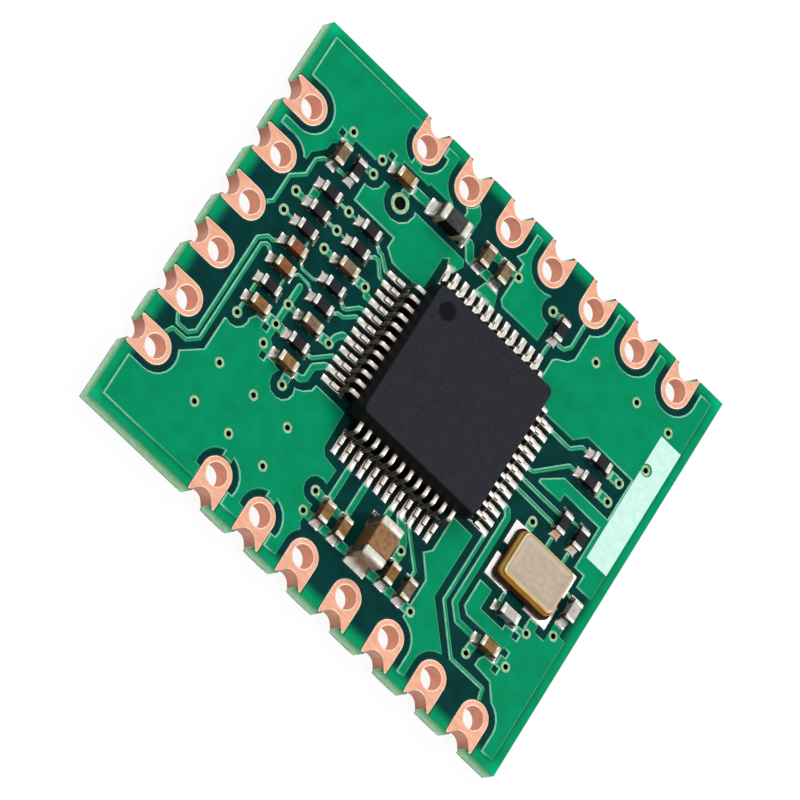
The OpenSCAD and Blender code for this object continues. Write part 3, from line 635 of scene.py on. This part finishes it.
def shoulder_ribbon(inner, outer, rise, sunk=0.003):
    """A bead over every edge of the coated copper: a closed profile, rounded above and sunk in the layers
    below, carried along the edges, mitred at each corner by the sum of the two edges' normals and shut at
    loose ends. The mitre is held back where a corner is sharp."""
    flat, edges, normals = copper_edges()
    mitre = np.zeros_like(flat)
    np.add.at(mitre, edges[:, 0], normals)
    np.add.at(mitre, edges[:, 1], normals)
    length = np.linalg.norm(mitre, axis=1, keepdims=True)
    least_length, most_reach = 1.2, 1.5
    reach = np.minimum(2 / np.maximum(length, least_length), most_reach)
    used, number = np.unique(edges, return_inverse=True)
    sideways = (mitre / np.maximum(length, TINY) * reach)[used]
    step = MASK_Z - LAND_Z
    across = np.array([-inner, -0.4 * inner, 0, 0.5 * outer, outer, -inner])
    height = np.array([rise, 0.75 * rise, 0, -0.6 * step, -step - sunk, -0.5 * step])
    xy = flat[used][:, None, :] + across[None, :, None] * sideways[:, None, :]
    z = np.broadcast_to(MASK_Z + height[None, :, None], (len(used), len(across), 1))
    points = np.concatenate([xy, z], -1).reshape(-1, 3)
    base = number.reshape(-1, 2) * len(across)
    here = np.arange(len(across))
    after = np.roll(here, -1)
    start, end = base[:, :1], base[:, 1:]
    quads = np.stack([start + here, start + after, end + after, end + here], -1).reshape(-1, 4)
    first = np.setdiff1d(start, end)[:, None] + here[::-1]
    last = np.setdiff1d(end, start)[:, None] + here
    return points, [quads, first, last]


def pad_shell(inset, width, hole, thickness, layer, rim, drop, steps=96):
    """One castellated pad about its hole: at each angle the section runs out under the board, up the
    outline, set back inside the board except in the half-hole, in over the top and down the hole, with a
    shallow rolled rim at each edge. The outline is the nearest of a half circle, two straight sides, the
    board's edge and the half-hole in that edge."""
    angle = np.linspace(0, 2 * np.pi, steps, endpoint=False)
    cos, sin = np.cos(angle), np.sin(angle)
    side = np.where(cos < 0, width / 2 / np.maximum(np.abs(sin), TINY), width / 2)
    edge = np.where(cos < 0, inset / np.maximum(-cos, TINY), np.inf)
    outline = np.minimum(side, edge)
    along = -inset * cos
    gap = along**2 - inset**2 + hole**2
    arc = np.where((gap > 0) & (cos < 0), along - np.sqrt(np.maximum(gap, 0)), np.inf)
    in_arc = arc < outline
    outline = np.minimum(outline, arc)
    buried = np.where(in_arc, outline, outline - layer)
    inner = np.full(steps, hole)
    below = [(inner, drop), (inner + rim, 0), (outline - rim, 0), (outline, drop)]
    below += [(outline, layer), (buried, layer)]
    section = below + [(radius, thickness - z) for radius, z in reversed(below)]
    rings = [np.stack([radius * cos, radius * sin, np.full(steps, z)], -1) for radius, z in section]
    return np.concatenate(rings), [grid_faces(len(section), steps, wrap_rows=True)]


def lead_shell(start, knee, heel, toe, high, thickness, width, bend=0.13, steps=6):
    """A gull-wing lead along X: a rounded strip section carried along a path whose two bends are quadratic
    curves, each from a given distance before its corner to the same distance after."""
    low = thickness / 2
    corners = np.array([[start, high], [knee, high], [heel, low], [toe, low]])
    share = np.linspace(0, 1, steps)[:, None]
    path = [corners[:1]]
    for before, corner, after in zip(corners, corners[1:], corners[2:]):
        enter = corner + (before - corner) * bend / np.linalg.norm(before - corner)
        leave = corner + (after - corner) * bend / np.linalg.norm(after - corner)
        path.append((1 - share) ** 2 * enter + 2 * share * (1 - share) * corner + share**2 * leave)
    path = np.concatenate([*path, corners[-1:]])
    way = np.gradient(path, axis=0)
    way /= np.linalg.norm(way, axis=1, keepdims=True)
    normal = np.stack([-way[:, 1], way[:, 0]], -1)
    ring = rounded_ring(width, thickness, 0.3 * thickness, steps=3)
    x = path[:, None, 0] + normal[:, None, 0] * ring[None, :, 1]
    z = path[:, None, 1] + normal[:, None, 1] * ring[None, :, 1]
    y = np.broadcast_to(ring[None, :, 0], x.shape)
    return stack(np.stack([x, y, z], -1))


def mound(stations, width, lift=0.45, steps=9):
    """A bead of solder along X: at each station, a place, a height and a share of the width, a section with
    upright foot and a rounded crown. The crown is the fourth-power bump 1 - v^4 across the width."""
    v = np.linspace(-1, 1, steps)
    rings = []
    for x, height, share in stations:
        y = v * width / 2 * share
        z = height * (lift + (1 - lift) * (1 - v**4))
        foot = np.array([[y[-1], 0], [y[0], 0]])
        rings.append(along_x(np.concatenate([np.column_stack([y, z]), foot])[::-1], x))
    return stack(rings)


def fillet_shell(end_x, reach, height, width, fall, thin=0.02, narrowing=0.12):
    """The solder between a plated end and its land: the height falls by a power of the way out to a thin rim,
    and the width narrows by the cube of that way."""
    out = np.linspace(0, 1, 8)
    heights = thin + (height - thin) * (1 - out) ** fall
    return mound(zip(end_x + reach * out, heights, 1 - narrowing * out**3, strict=True), width)


# Settings


def amount(name, description, default, **more):
    """A number property."""
    return FloatProperty(name=name, description=description, default=default, **more)


def distance(name, description, default_mm):
    """A length property with its default in millimetres."""
    return amount(name, description, default_mm * MM, unit="LENGTH", precision=5)


def hexes(name, description, default):
    """A property of sRGB hex colours with spaces between."""
    return StringProperty(name=name, description=description, default=default)


class MODULE_PG_tones(PropertyGroup):
    """Darker and lighter colour of the main finishes."""

    mask_on_copper: hexes("Mask on copper", "Greens of the mask over copper", "#008457 #009164")
    mask_on_laminate: hexes("Mask on laminate", "Teals of the mask over laminate", "#002E2C #003B39")
    pad_copper: hexes("Pads", "Salmons of the castellated pads' tops", "#D08F73 #DFA78B")
    white_ink: hexes("Ink", "Whites of the ink field", "#BDE6DB #CDF2E8")
    chip_resin: hexes("Chip", "Charcoals of the chip's top", "#16171E #22242D")
    crystal_lid: hexes("Crystal lid", "Silvers of the crystal's lid", "#998A76 #A69784")


class MODULE_PG_relief(PropertyGroup):
    """Sizes of the mask's relief and of the plated pads."""

    shoulder_inner: distance("Shoulder on copper", "Width of the pale line on top of a copper edge", 0.052)
    shoulder_outer: distance("Shoulder off copper", "Width of the slope outside a copper edge", 0.02)
    shoulder_rise: distance("Shoulder rise", "Height of the slope's start over the mask", 0.012)
    pad_rim: distance("Pad rim", "Width of the rolled rim round a pad's edges", 0.045)
    pad_drop: distance("Pad drop", "Fall of the rolled rim", 0.012)
    pad_width: distance("Pad width", "Width of a castellated pad", 1.5)
    hole_radius: distance("Hole radius", "Radius of the header holes and edge half-holes", 0.5)


class MODULE_PG_chip(PropertyGroup):
    """Sizes of the chip and of its leads."""

    corner: distance("Corner radius", "Radius of the body's upright corners", 0.36)
    edge: distance("Top edge radius", "Rounding of the body's top edge", 0.07)
    draft: distance("Draft", "Slope of the body's sides", 0.15)
    dimple_radius: distance("Dimple radius", "Radius of the pin one dimple", 0.45)
    dimple_depth: distance("Dimple depth", "Depth of the pin one dimple", 0.07)
    dimple_inset: distance("Dimple inset", "Distance of the dimple from the body's sides", 0.98)
    leads: IntProperty(name="Leads a side", description="Leads along each side", default=12, min=2)
    lead_width: distance("Lead width", "Width of a lead", 0.22)
    lead_thickness: distance("Lead thickness", "Thickness of a lead", 0.13)
    shoulder: distance("Lead shoulder", "Length of the level shoulder of a lead", 0.42)
    foot: distance("Lead foot", "Length of the foot of a lead", 0.45)
    land_width: distance("Land width", "Width of the solder on a lead's land", 0.27)


class MODULE_PG_crystal(PropertyGroup):
    """Sizes of the crystal's package and lands."""

    corner: distance("Corner radius", "Radius of the package's corners", 0.3)
    edge: distance("Lid edge", "Rounding of the lid's top edge", 0.11)
    land_length: distance("Land length", "Length of the solder at a corner", 1.33)
    land_width: distance("Land width", "Width of the solder at a corner", 1.16)


class MODULE_PG_passives(PropertyGroup):
    """Sizes of the chip passives and their solder."""

    edge: distance("Edge radius", "Rounding of the plated ends", 0.06)
    end_share: amount("End share", "Plated length at each end, as a share of the whole", 0.24)
    lip: distance("End lip", "Step from the plated end down to the body", 0.018)
    toe: distance("Solder toe", "Reach of the solder past a plated end", 0.23)
    climb: amount("Solder climb", "Height of the solder, as a share of the part's height", 0.9)
    fall: amount("Solder fall", "Power by which the solder falls outwards", 1.9)
    low_climb: amount("Resistor solder climb", "Height of the solder at a resistor, as a share", 0.98)
    low_fall: amount("Resistor solder fall", "Power by which a resistor's solder falls outwards", 1.2)


class MODULE_PG_stage(PropertyGroup):
    """Camera, floor and lights."""

    lens: amount("Lens", "Focal length", 403.2, unit="CAMERA")
    camera_place: FloatVectorProperty(
        name="Camera place",
        description="Place of the camera over the board's centre",
        default=(-0.13383, -0.16091, 0.29344),
        subtype="TRANSLATION",
        precision=5,
    )
    floor_colour: hexes("Floor colour", "Lighter colour of the floor", "#FFFFFF")
    floor_size: distance("Floor size", "Side of the square floor", 1200)
    surround: amount("Surround", "Strength of the white surround as light", 0.45)
    shadow: amount("Floor shadow", "Share of the shadow that the floor shows", 0.09)
    lamp_size: distance("Lamp size", "Side of each square lamp", 200)
    lamp_distance: distance("Lamp distance", "Distance of each lamp from the board's centre", 450)
    key_power: amount("Key power", "Power of the key lamp", 0.85, unit="POWER")
    far_power: amount("Far power", "Power of the far lamp", 0.6, unit="POWER")
    fill_power: amount("Fill power", "Power of the fill lamp", 0.4, unit="POWER")


class MODULE_PG_settings(PropertyGroup):
    """All the settings of the module."""

    tones: PointerProperty(type=MODULE_PG_tones)
    relief: PointerProperty(type=MODULE_PG_relief)
    chip: PointerProperty(type=MODULE_PG_chip)
    crystal: PointerProperty(type=MODULE_PG_crystal)
    passives: PointerProperty(type=MODULE_PG_passives)
    stage: PointerProperty(type=MODULE_PG_stage)


# Operators


class MODULE_OT_board(Operator):
    """Finishes the board's own layers and lays the pale shoulders along the copper"""

    bl_idname = "module.board"
    bl_label = "Board"

    def execute(self, context):
        greens = tones("mask_on_copper")
        finishes = {
            "laminate": glass_epoxy(),
            "top_mask": mask_on_laminate(*tones("mask_on_laminate")),
            "coated_copper": mask_on_copper(*greens),
            "bottom_mask": mask_on_copper(*greens),
            "bare_copper": reflowed_solder(),
            "vias": tented_ring(),
            "label_field": white_ink(*tones("white_ink")),
        }
        for node, material in finishes.items():
            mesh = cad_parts[node].data
            mesh.materials.clear()
            mesh.materials.append(material)
        relief = settings().relief
        sizes = (relief.shoulder_inner, relief.shoulder_outer, relief.shoulder_rise)
        ribbon = shoulder_ribbon(*(size / MM for size in sizes))
        make_piece("mask_shoulders", [(mask_shoulder(*greens), [ribbon])], [], sharp=80)
        return {"FINISHED"}


class MODULE_OT_pads(Operator):
    """Builds the three rows of castellated pads"""

    bl_idname = "module.pads"
    bl_label = "Castellated pads"

    def execute(self, context):
        relief = settings().relief
        width, hole = relief.pad_width / MM, relief.hole_radius / MM
        rim, drop = relief.pad_rim / MM, relief.pad_drop / MM
        copper = pad_copper(*tones("pad_copper"))
        for node, (turn, count) in PAD_ROWS.items():
            low, high = node_box(node)
            crosswise = 0 if turn else 1
            lengthwise = 1 - crosswise
            inset = high[lengthwise] - low[lengthwise] - width / 2
            shell = pad_shell(inset, width, hole, LAND_Z, BOARD_LOW[2], rim, drop)
            on_far_edge = turn < 0
            middle = low[lengthwise] + width / 2 if on_far_edge else high[lengthwise] - width / 2
            shells = []
            for along in np.linspace(low[crosswise] + width / 2, high[crosswise] - width / 2, count):
                x, y = (along, middle) if turn else (middle, along)
                shells.append(placed(shell, x, y, 0, turn))
            make_piece(f"finished_{node}", [(copper, shells)], [node], sharp=10)
        return {"FINISHED"}


class MODULE_OT_chip(Operator):
    """Builds the chip's moulded body with its pin one dimple"""

    bl_idname = "module.chip"
    bl_label = "Chip body"

    def execute(self, context):
        chip = settings().chip
        low, high = node_box("chip_body")
        x, y, _ = (low + high) / 2
        radius, depth = chip.dimple_radius / MM, chip.dimple_depth / MM
        place = np.array([-1, 1]) * ((high[0] - low[0]) / 2 - chip.dimple_inset / MM)
        rings = self.rings(chip, low, high)
        # The dimple is level out to a share of its radius, then rises by the square of the way on
        for ring in rings:
            away = np.linalg.norm(ring[:, :2] - place, axis=1) / radius
            ring[:, 2] -= depth * (1 - np.clip((away - BOWL_SHARE) / (1 - BOWL_SHARE), 0, 1) ** 2)
        turn = np.linspace(0, 2 * np.pi, 48, endpoint=False)
        circle = MARK_SHARE * radius * np.stack([np.cos(turn), np.sin(turn)], -1)
        mark = stack([at_height(share * circle, high[2] - depth + rise) for share, rise in MARK_RINGS])
        body = (chip_resin(*tones("chip_resin")), [placed(stack(rings), x, y, 0)])
        dimple = (polished_resin(), [placed(mark, x + place[0], y + place[1], 0)])
        make_piece("moulded_body", [body, dimple], ["chip_body"], sharp=60)
        return {"FINISHED"}

    def rings(self, chip, low, high, around=320, on_top=90, smallest=0.004):
        """Rounded squares up the drafted sides and over the top edge, then smaller and smaller on the top."""
        side, parting = high[0] - low[0], (low[2] + high[2]) / 2
        draft, corner = chip.draft / MM, chip.corner / MM
        inward, drop = quarter_round(chip.edge / MM, steps=5)
        insets = [draft, PARTING_INSET, 0, PARTING_INSET, *(draft + inward)]
        heights = [low[2], parting - PARTING_HALF, parting, parting + PARTING_HALF, *(high[2] - drop)]
        rings = []
        for inset, z in zip(insets, heights, strict=True):
            square = rounded_ring(side - 2 * inset, side - 2 * inset, max(corner - inset / 2, LEAST_CORNER))
            rings.append(at_height(evened(square, around), z))
        top = rings[-1]
        return rings + [top * [share, share, 1] for share in np.linspace(1, smallest, on_top)[1:]]


class MODULE_OT_leads(Operator):
    """Builds the gull-wing leads and the solder on their lands"""

    bl_idname = "module.leads"
    bl_label = "Leads"

    def execute(self, context):
        chip = settings().chip
        low, high = node_box("chip_body")
        middle = (low + high) / 2
        x, y, _ = middle
        half = (high[0] - low[0]) / 2
        width, thickness = chip.lead_width / MM, chip.lead_thickness / MM
        solder_low, solder_high = node_box("chip_solder")
        seat = solder_high[2]
        land_end = (solder_high[0] - solder_low[0]) / 2
        tin = matt_tin("leads", "#BAB2A8", "#DED6CC")
        solder = []
        for node, turn in LEAD_SIDES.items():
            lead_low, lead_high = node_box(node)
            crosswise = 1 if turn % 180 == 0 else 0
            lengthwise = 1 - crosswise
            toe = half + lead_high[lengthwise] - lead_low[lengthwise]
            knee, heel = half + chip.shoulder / MM, toe - chip.foot / MM
            level = lead_high[2] - seat - thickness / 2
            lead = lead_shell(half - LEAD_TUCK, knee, heel, toe, level, thickness, width)
            stations = [(toe + past, height, share) for past, height, share in TOE_BEAD]
            stations += [(land_end + past, height, share) for past, height, share in LAND_BEAD]
            bead = mound(stations, chip.land_width / MM)
            first = lead_low[crosswise] + width / 2 - middle[crosswise]
            last = lead_high[crosswise] - width / 2 - middle[crosswise]
            leads = []
            for offset in np.linspace(first, last, chip.leads):
                leads.append(placed(placed(lead, 0, offset, 0), x, y, seat, turn))
                solder.append(placed(placed(bead, 0, offset, 0), x, y, LAND_Z, turn))
            make_piece(f"formed_{node}", [(tin, leads)], [node], sharp=50)
        make_piece("lead_solder", [(reflowed_solder(), solder)], ["chip_solder"], sharp=50)
        return {"FINISHED"}


class MODULE_OT_crystal(Operator):
    """Builds the crystal's base, seal ring and lid, and the solder at its corners"""

    bl_idname = "module.crystal"
    bl_label = "Crystal"

    def execute(self, context):
        crystal = settings().crystal
        ceramic = fired_ceramic(*CERAMICS["crystal_ceramic"])
        self.layer("crystal_base", ceramic, "crystal_ceramic", BASE_PROFILE)
        self.layer("crystal_ring", gold_plate(), "gold_seal", RING_PROFILE)
        low, high = node_box("crystal_lid")
        tall, edge = high[2] - low[2], crystal.edge / MM
        inward, drop = quarter_round(edge, steps=5)
        profile = [(0, 0), *zip(1 - drop / tall, inward, strict=True)]
        profile += [(1 - depth / tall, edge + inset) for depth, inset in LID_DISH]
        lid = crystal_lid_metal(*tones("crystal_lid"))
        self.layer("crystal_lid", lid, "crystal_lid_metal", profile)
        self.joints(crystal.land_length / MM, crystal.land_width / MM)
        return {"FINISHED"}

    def layer(self, node, material, slot, profile, least_corner=0.05):
        """A rounded rectangle carried up a profile, each step a share of the node's height and an inset."""
        low, high = node_box(node)
        x, y, _ = (low + high) / 2
        corner = settings().crystal.corner / MM
        rings = []
        for share, inset in profile:
            long, wide, _ = high - low - 2 * inset
            ring = rounded_ring(long, wide, max(corner - inset, least_corner), steps=7)
            rings.append(at_height(ring, low[2] + share * (high[2] - low[2])))
        make_piece(f"finished_{node}", [(material, [placed(stack(rings), x, y, 0)])], [node])

    def joints(self, long, wide):
        """A low bead of solder at each corner of the package."""
        low, high = node_box("crystal_solder")
        rising = [(inset - long / 2, height, share) for inset, height, share in JOINT_BEAD]
        falling = [(-x, height, share) for x, height, share in reversed(rising)]
        bead = mound(rising + falling, wide, lift=0.9)
        columns = (low[0] + long / 2, high[0] - long / 2)
        rows = (low[1] + wide / 2, high[1] - wide / 2)
        beads = [placed(bead, x, y, LAND_Z) for x in columns for y in rows]
        solder = reflowed_solder("Reflowed solder lying flat", "#E0DCD8", "#F4F1EC")
        make_piece("crystal_joints", [(solder, beads)], ["crystal_solder"], sharp=50)


class MODULE_OT_passives(Operator):
    """Builds the resistors, capacitors and bead with their plated ends and solder"""

    bl_idname = "module.passives"
    bl_label = "Passives"

    def execute(self, context):
        passives = settings().passives
        low_joint, tall_joint = (passives.low_climb, passives.low_fall), (passives.climb, passives.fall)
        cool_tin = matt_tin("resistors", "#ACADA4", "#CED0C7")
        cream_tin = matt_tin("capacitors", "#AAA290", "#CBC3AE")
        # The near ends of tall parts mirror the pale solder at their feet
        tall_tin = matt_tin("tall ends", "#B0ADA3", "#CDCABE", ("#A08E7C", "#BBA997"), 0.5, 0.4)
        groups = [
            (RESISTORS, "resistor_coat", cool_tin, low_joint),
            (CAPACITORS, "capacitor_ceramic", cream_tin, tall_joint),
            (LOAD_CAPACITORS, "load_ceramic", cool_tin, tall_joint),
            (["bulk_capacitor"], "bulk_ceramic", tall_tin, tall_joint),
            (["ferrite_bead"], "ferrite", tall_tin, tall_joint),
        ]
        solder = []
        for nodes, slot, tin, joint in groups:
            for node in nodes:
                ceramic = fired_ceramic(*CERAMICS[TINTS.get(node, slot)])
                solder += self.part(node, ceramic, tin, slot, *joint)
        make_piece("passive_solder", [(reflowed_solder(), solder)], ["solder_fillets"], sharp=60)
        return {"FINISHED"}

    def part(self, node, ceramic, tin, slot, climb, fall):
        """One passive along its longer side; returns the solder at its two ends."""
        passives = settings().passives
        low, high = node_box(node)
        size = high - low
        turn = 0 if size[0] > size[1] else 90
        long, wide, tall = max(size[:2]), min(size[:2]), size[2]
        x, y, _ = (low + high) / 2
        edge, lip, toe = passives.edge / MM, passives.lip / MM, passives.toe / MM
        if tall > TALL_PART:
            edge *= TALL_EDGE
            toe *= TALL_TOE
        end = passives.end_share * long
        core = long - 2 * end + 2 * BODY_TUCK
        body = rounded_bar(core, wide - 2 * lip, tall - 2 * lip, edge / 2, -core / 2)
        caps = [rounded_bar(end, wide, tall, edge, low_x) for low_x in (-long / 2, long / 2 - end)]
        bodies = (ceramic, [placed(body, x, y, low[2] + lip, turn)])
        ends = (tin, [placed(cap, x, y, low[2], turn) for cap in caps])
        make_piece(f"finished_{node}", [bodies, ends], [node], sharp=50)
        fillet = fillet_shell(long / 2 - edge, toe + edge, climb * tall, wide, fall)
        return [placed(fillet, x, y, low[2], turn + half_turn) for half_turn in (0, 180)]


class MODULE_OT_stage(Operator):
    """Sets the camera, floor and soft lights"""

    bl_idname = "module.stage"
    bl_label = "Stage"

    def execute(self, context):
        stage = settings().stage
        scene = context.scene
        scene.view_settings.view_transform = "Standard"
        self.camera(scene, stage)
        self.floor(stage)
        self.surround(scene, stage)
        self.lamps(stage)
        return {"FINISHED"}

    def camera(self, scene, stage):
        """The camera of the photograph's view, from its right, up and back directions."""
        data = bpy.data.cameras.new("camera")
        data.lens = stage.lens
        data.sensor_width = 36
        data.clip_start = 0.01
        data.clip_end = 10
        camera = add_object("camera", data)
        right, up, back = (0.6682, 0.4806, 0.5679), (-0.6449, 0.7548, 0.12), (-0.371, -0.4464, 0.8143)
        turn = Matrix((right, up, back)).transposed().to_quaternion().normalized().to_matrix().to_4x4()
        camera.matrix_world = Matrix.Translation(Vector(stage.camera_place)) @ turn
        scene.camera = camera

    def floor(self, stage):
        """A square floor just under the board that looks white to the camera and still takes the shadow."""
        half = stage.floor_size / 2
        corners = [(-half, -half), (half, -half), (half, half), (-half, half)]
        mesh = bpy.data.meshes.new("floor")
        mesh.from_pydata([(x, y, -FLOOR_GAP * MM) for x, y in corners], [], [(0, 1, 2, 3)])
        material, tree, shader, place = new_material("White paper floor")
        colour, _ = mottle(tree, place, 40, "#F7F7F7", stage.floor_colour)
        tree.links.new(colour, shader.inputs["Base Color"])
        finish(shader, Roughness=0.9, Specular_IOR_Level=0.0)
        glow = add_node(tree, "Emission", {"Color": linear("#FFFFFF"), "Strength": 1.0})
        share = add_node(tree, "Math", {1: 1 - stage.shadow}, {0: seen_rays(tree)}, operation="MULTIPLY")
        links = {0: share.outputs["Value"], 1: shader.outputs["BSDF"], 2: glow.outputs["Emission"]}
        both = add_node(tree, "MixShader", links=links)
        tree.links.new(both.outputs["Shader"], tree.nodes["Material Output"].inputs["Surface"])
        mesh.materials.append(material)
        floor = add_object("floor", mesh)

    def surround(self, scene, stage):
        """An even surround, white to the camera and in reflections and milder as light."""
        world = bpy.data.worlds.new("surround")
        world.use_nodes = True
        tree = world.node_tree
        ends = {"To Min": stage.surround, "To Max": 1.0}
        strength = add_node(tree, "MapRange", ends, {"Value": seen_rays(tree)})
        background = tree.nodes["Background"]
        background.inputs["Color"].default_value = linear("#FFFFFF")
        tree.links.new(strength.outputs["Result"], background.inputs["Strength"])
        scene.world = world

    def lamps(self, stage):
        """Two soft panels from the far side and a fill from the near left."""
        # Name, azimuth and height in degrees, and power
        lamps = [
            ("key", 12, 50, stage.key_power),
            ("far_key", 96, 42, stage.far_power),
            ("fill", 205, 45, stage.fill_power),
        ]
        for name, azimuth, height, power in lamps:
            data = bpy.data.lights.new(name, "AREA")
            data.size = stage.lamp_size
            data.energy = power
            lamp = add_object(name, data)
            turn = Matrix.Rotation(radians(azimuth), 4, "Z") @ Matrix.Rotation(radians(90 - height), 4, "Y")
            lamp.matrix_world = turn @ Matrix.Translation((0, 0, stage.lamp_distance))


class MODULE_PT_panel(Panel):
    """Lists the module's pieces in the sidebar"""

    bl_label = "Network module"
    bl_space_type = "VIEW_3D"
    bl_region_type = "UI"
    bl_category = "Module"

    def draw(self, context):
        for operator in OPERATORS:
            self.layout.operator(operator.bl_idname, text=operator.bl_label)


OPERATORS = (
    MODULE_OT_board,
    MODULE_OT_pads,
    MODULE_OT_chip,
    MODULE_OT_leads,
    MODULE_OT_crystal,
    MODULE_OT_passives,
    MODULE_OT_stage,
)
GROUPS = (
    MODULE_PG_tones,
    MODULE_PG_relief,
    MODULE_PG_chip,
    MODULE_PG_crystal,
    MODULE_PG_passives,
    MODULE_PG_stage,
    MODULE_PG_settings,
)


def register():
    """Registers the classes and hangs the settings on the scene."""
    for group in (*GROUPS, *OPERATORS, MODULE_PT_panel):
        bpy.utils.register_class(group)
    bpy.types.Scene.module_settings = PointerProperty(type=MODULE_PG_settings)


def unregister():
    """Takes the settings and classes away again."""
    del bpy.types.Scene.module_settings
    for group in reversed((*GROUPS, *OPERATORS, MODULE_PT_panel)):
        bpy.utils.unregister_class(group)


def main():
    """Builds every piece and the stage."""
    register()
    bpy.ops.module.board()
    bpy.ops.module.pads()
    bpy.ops.module.chip()
    bpy.ops.module.leads()
    bpy.ops.module.crystal()
    bpy.ops.module.passives()
    bpy.ops.module.stage()


if __name__ == "__main__":
    main()
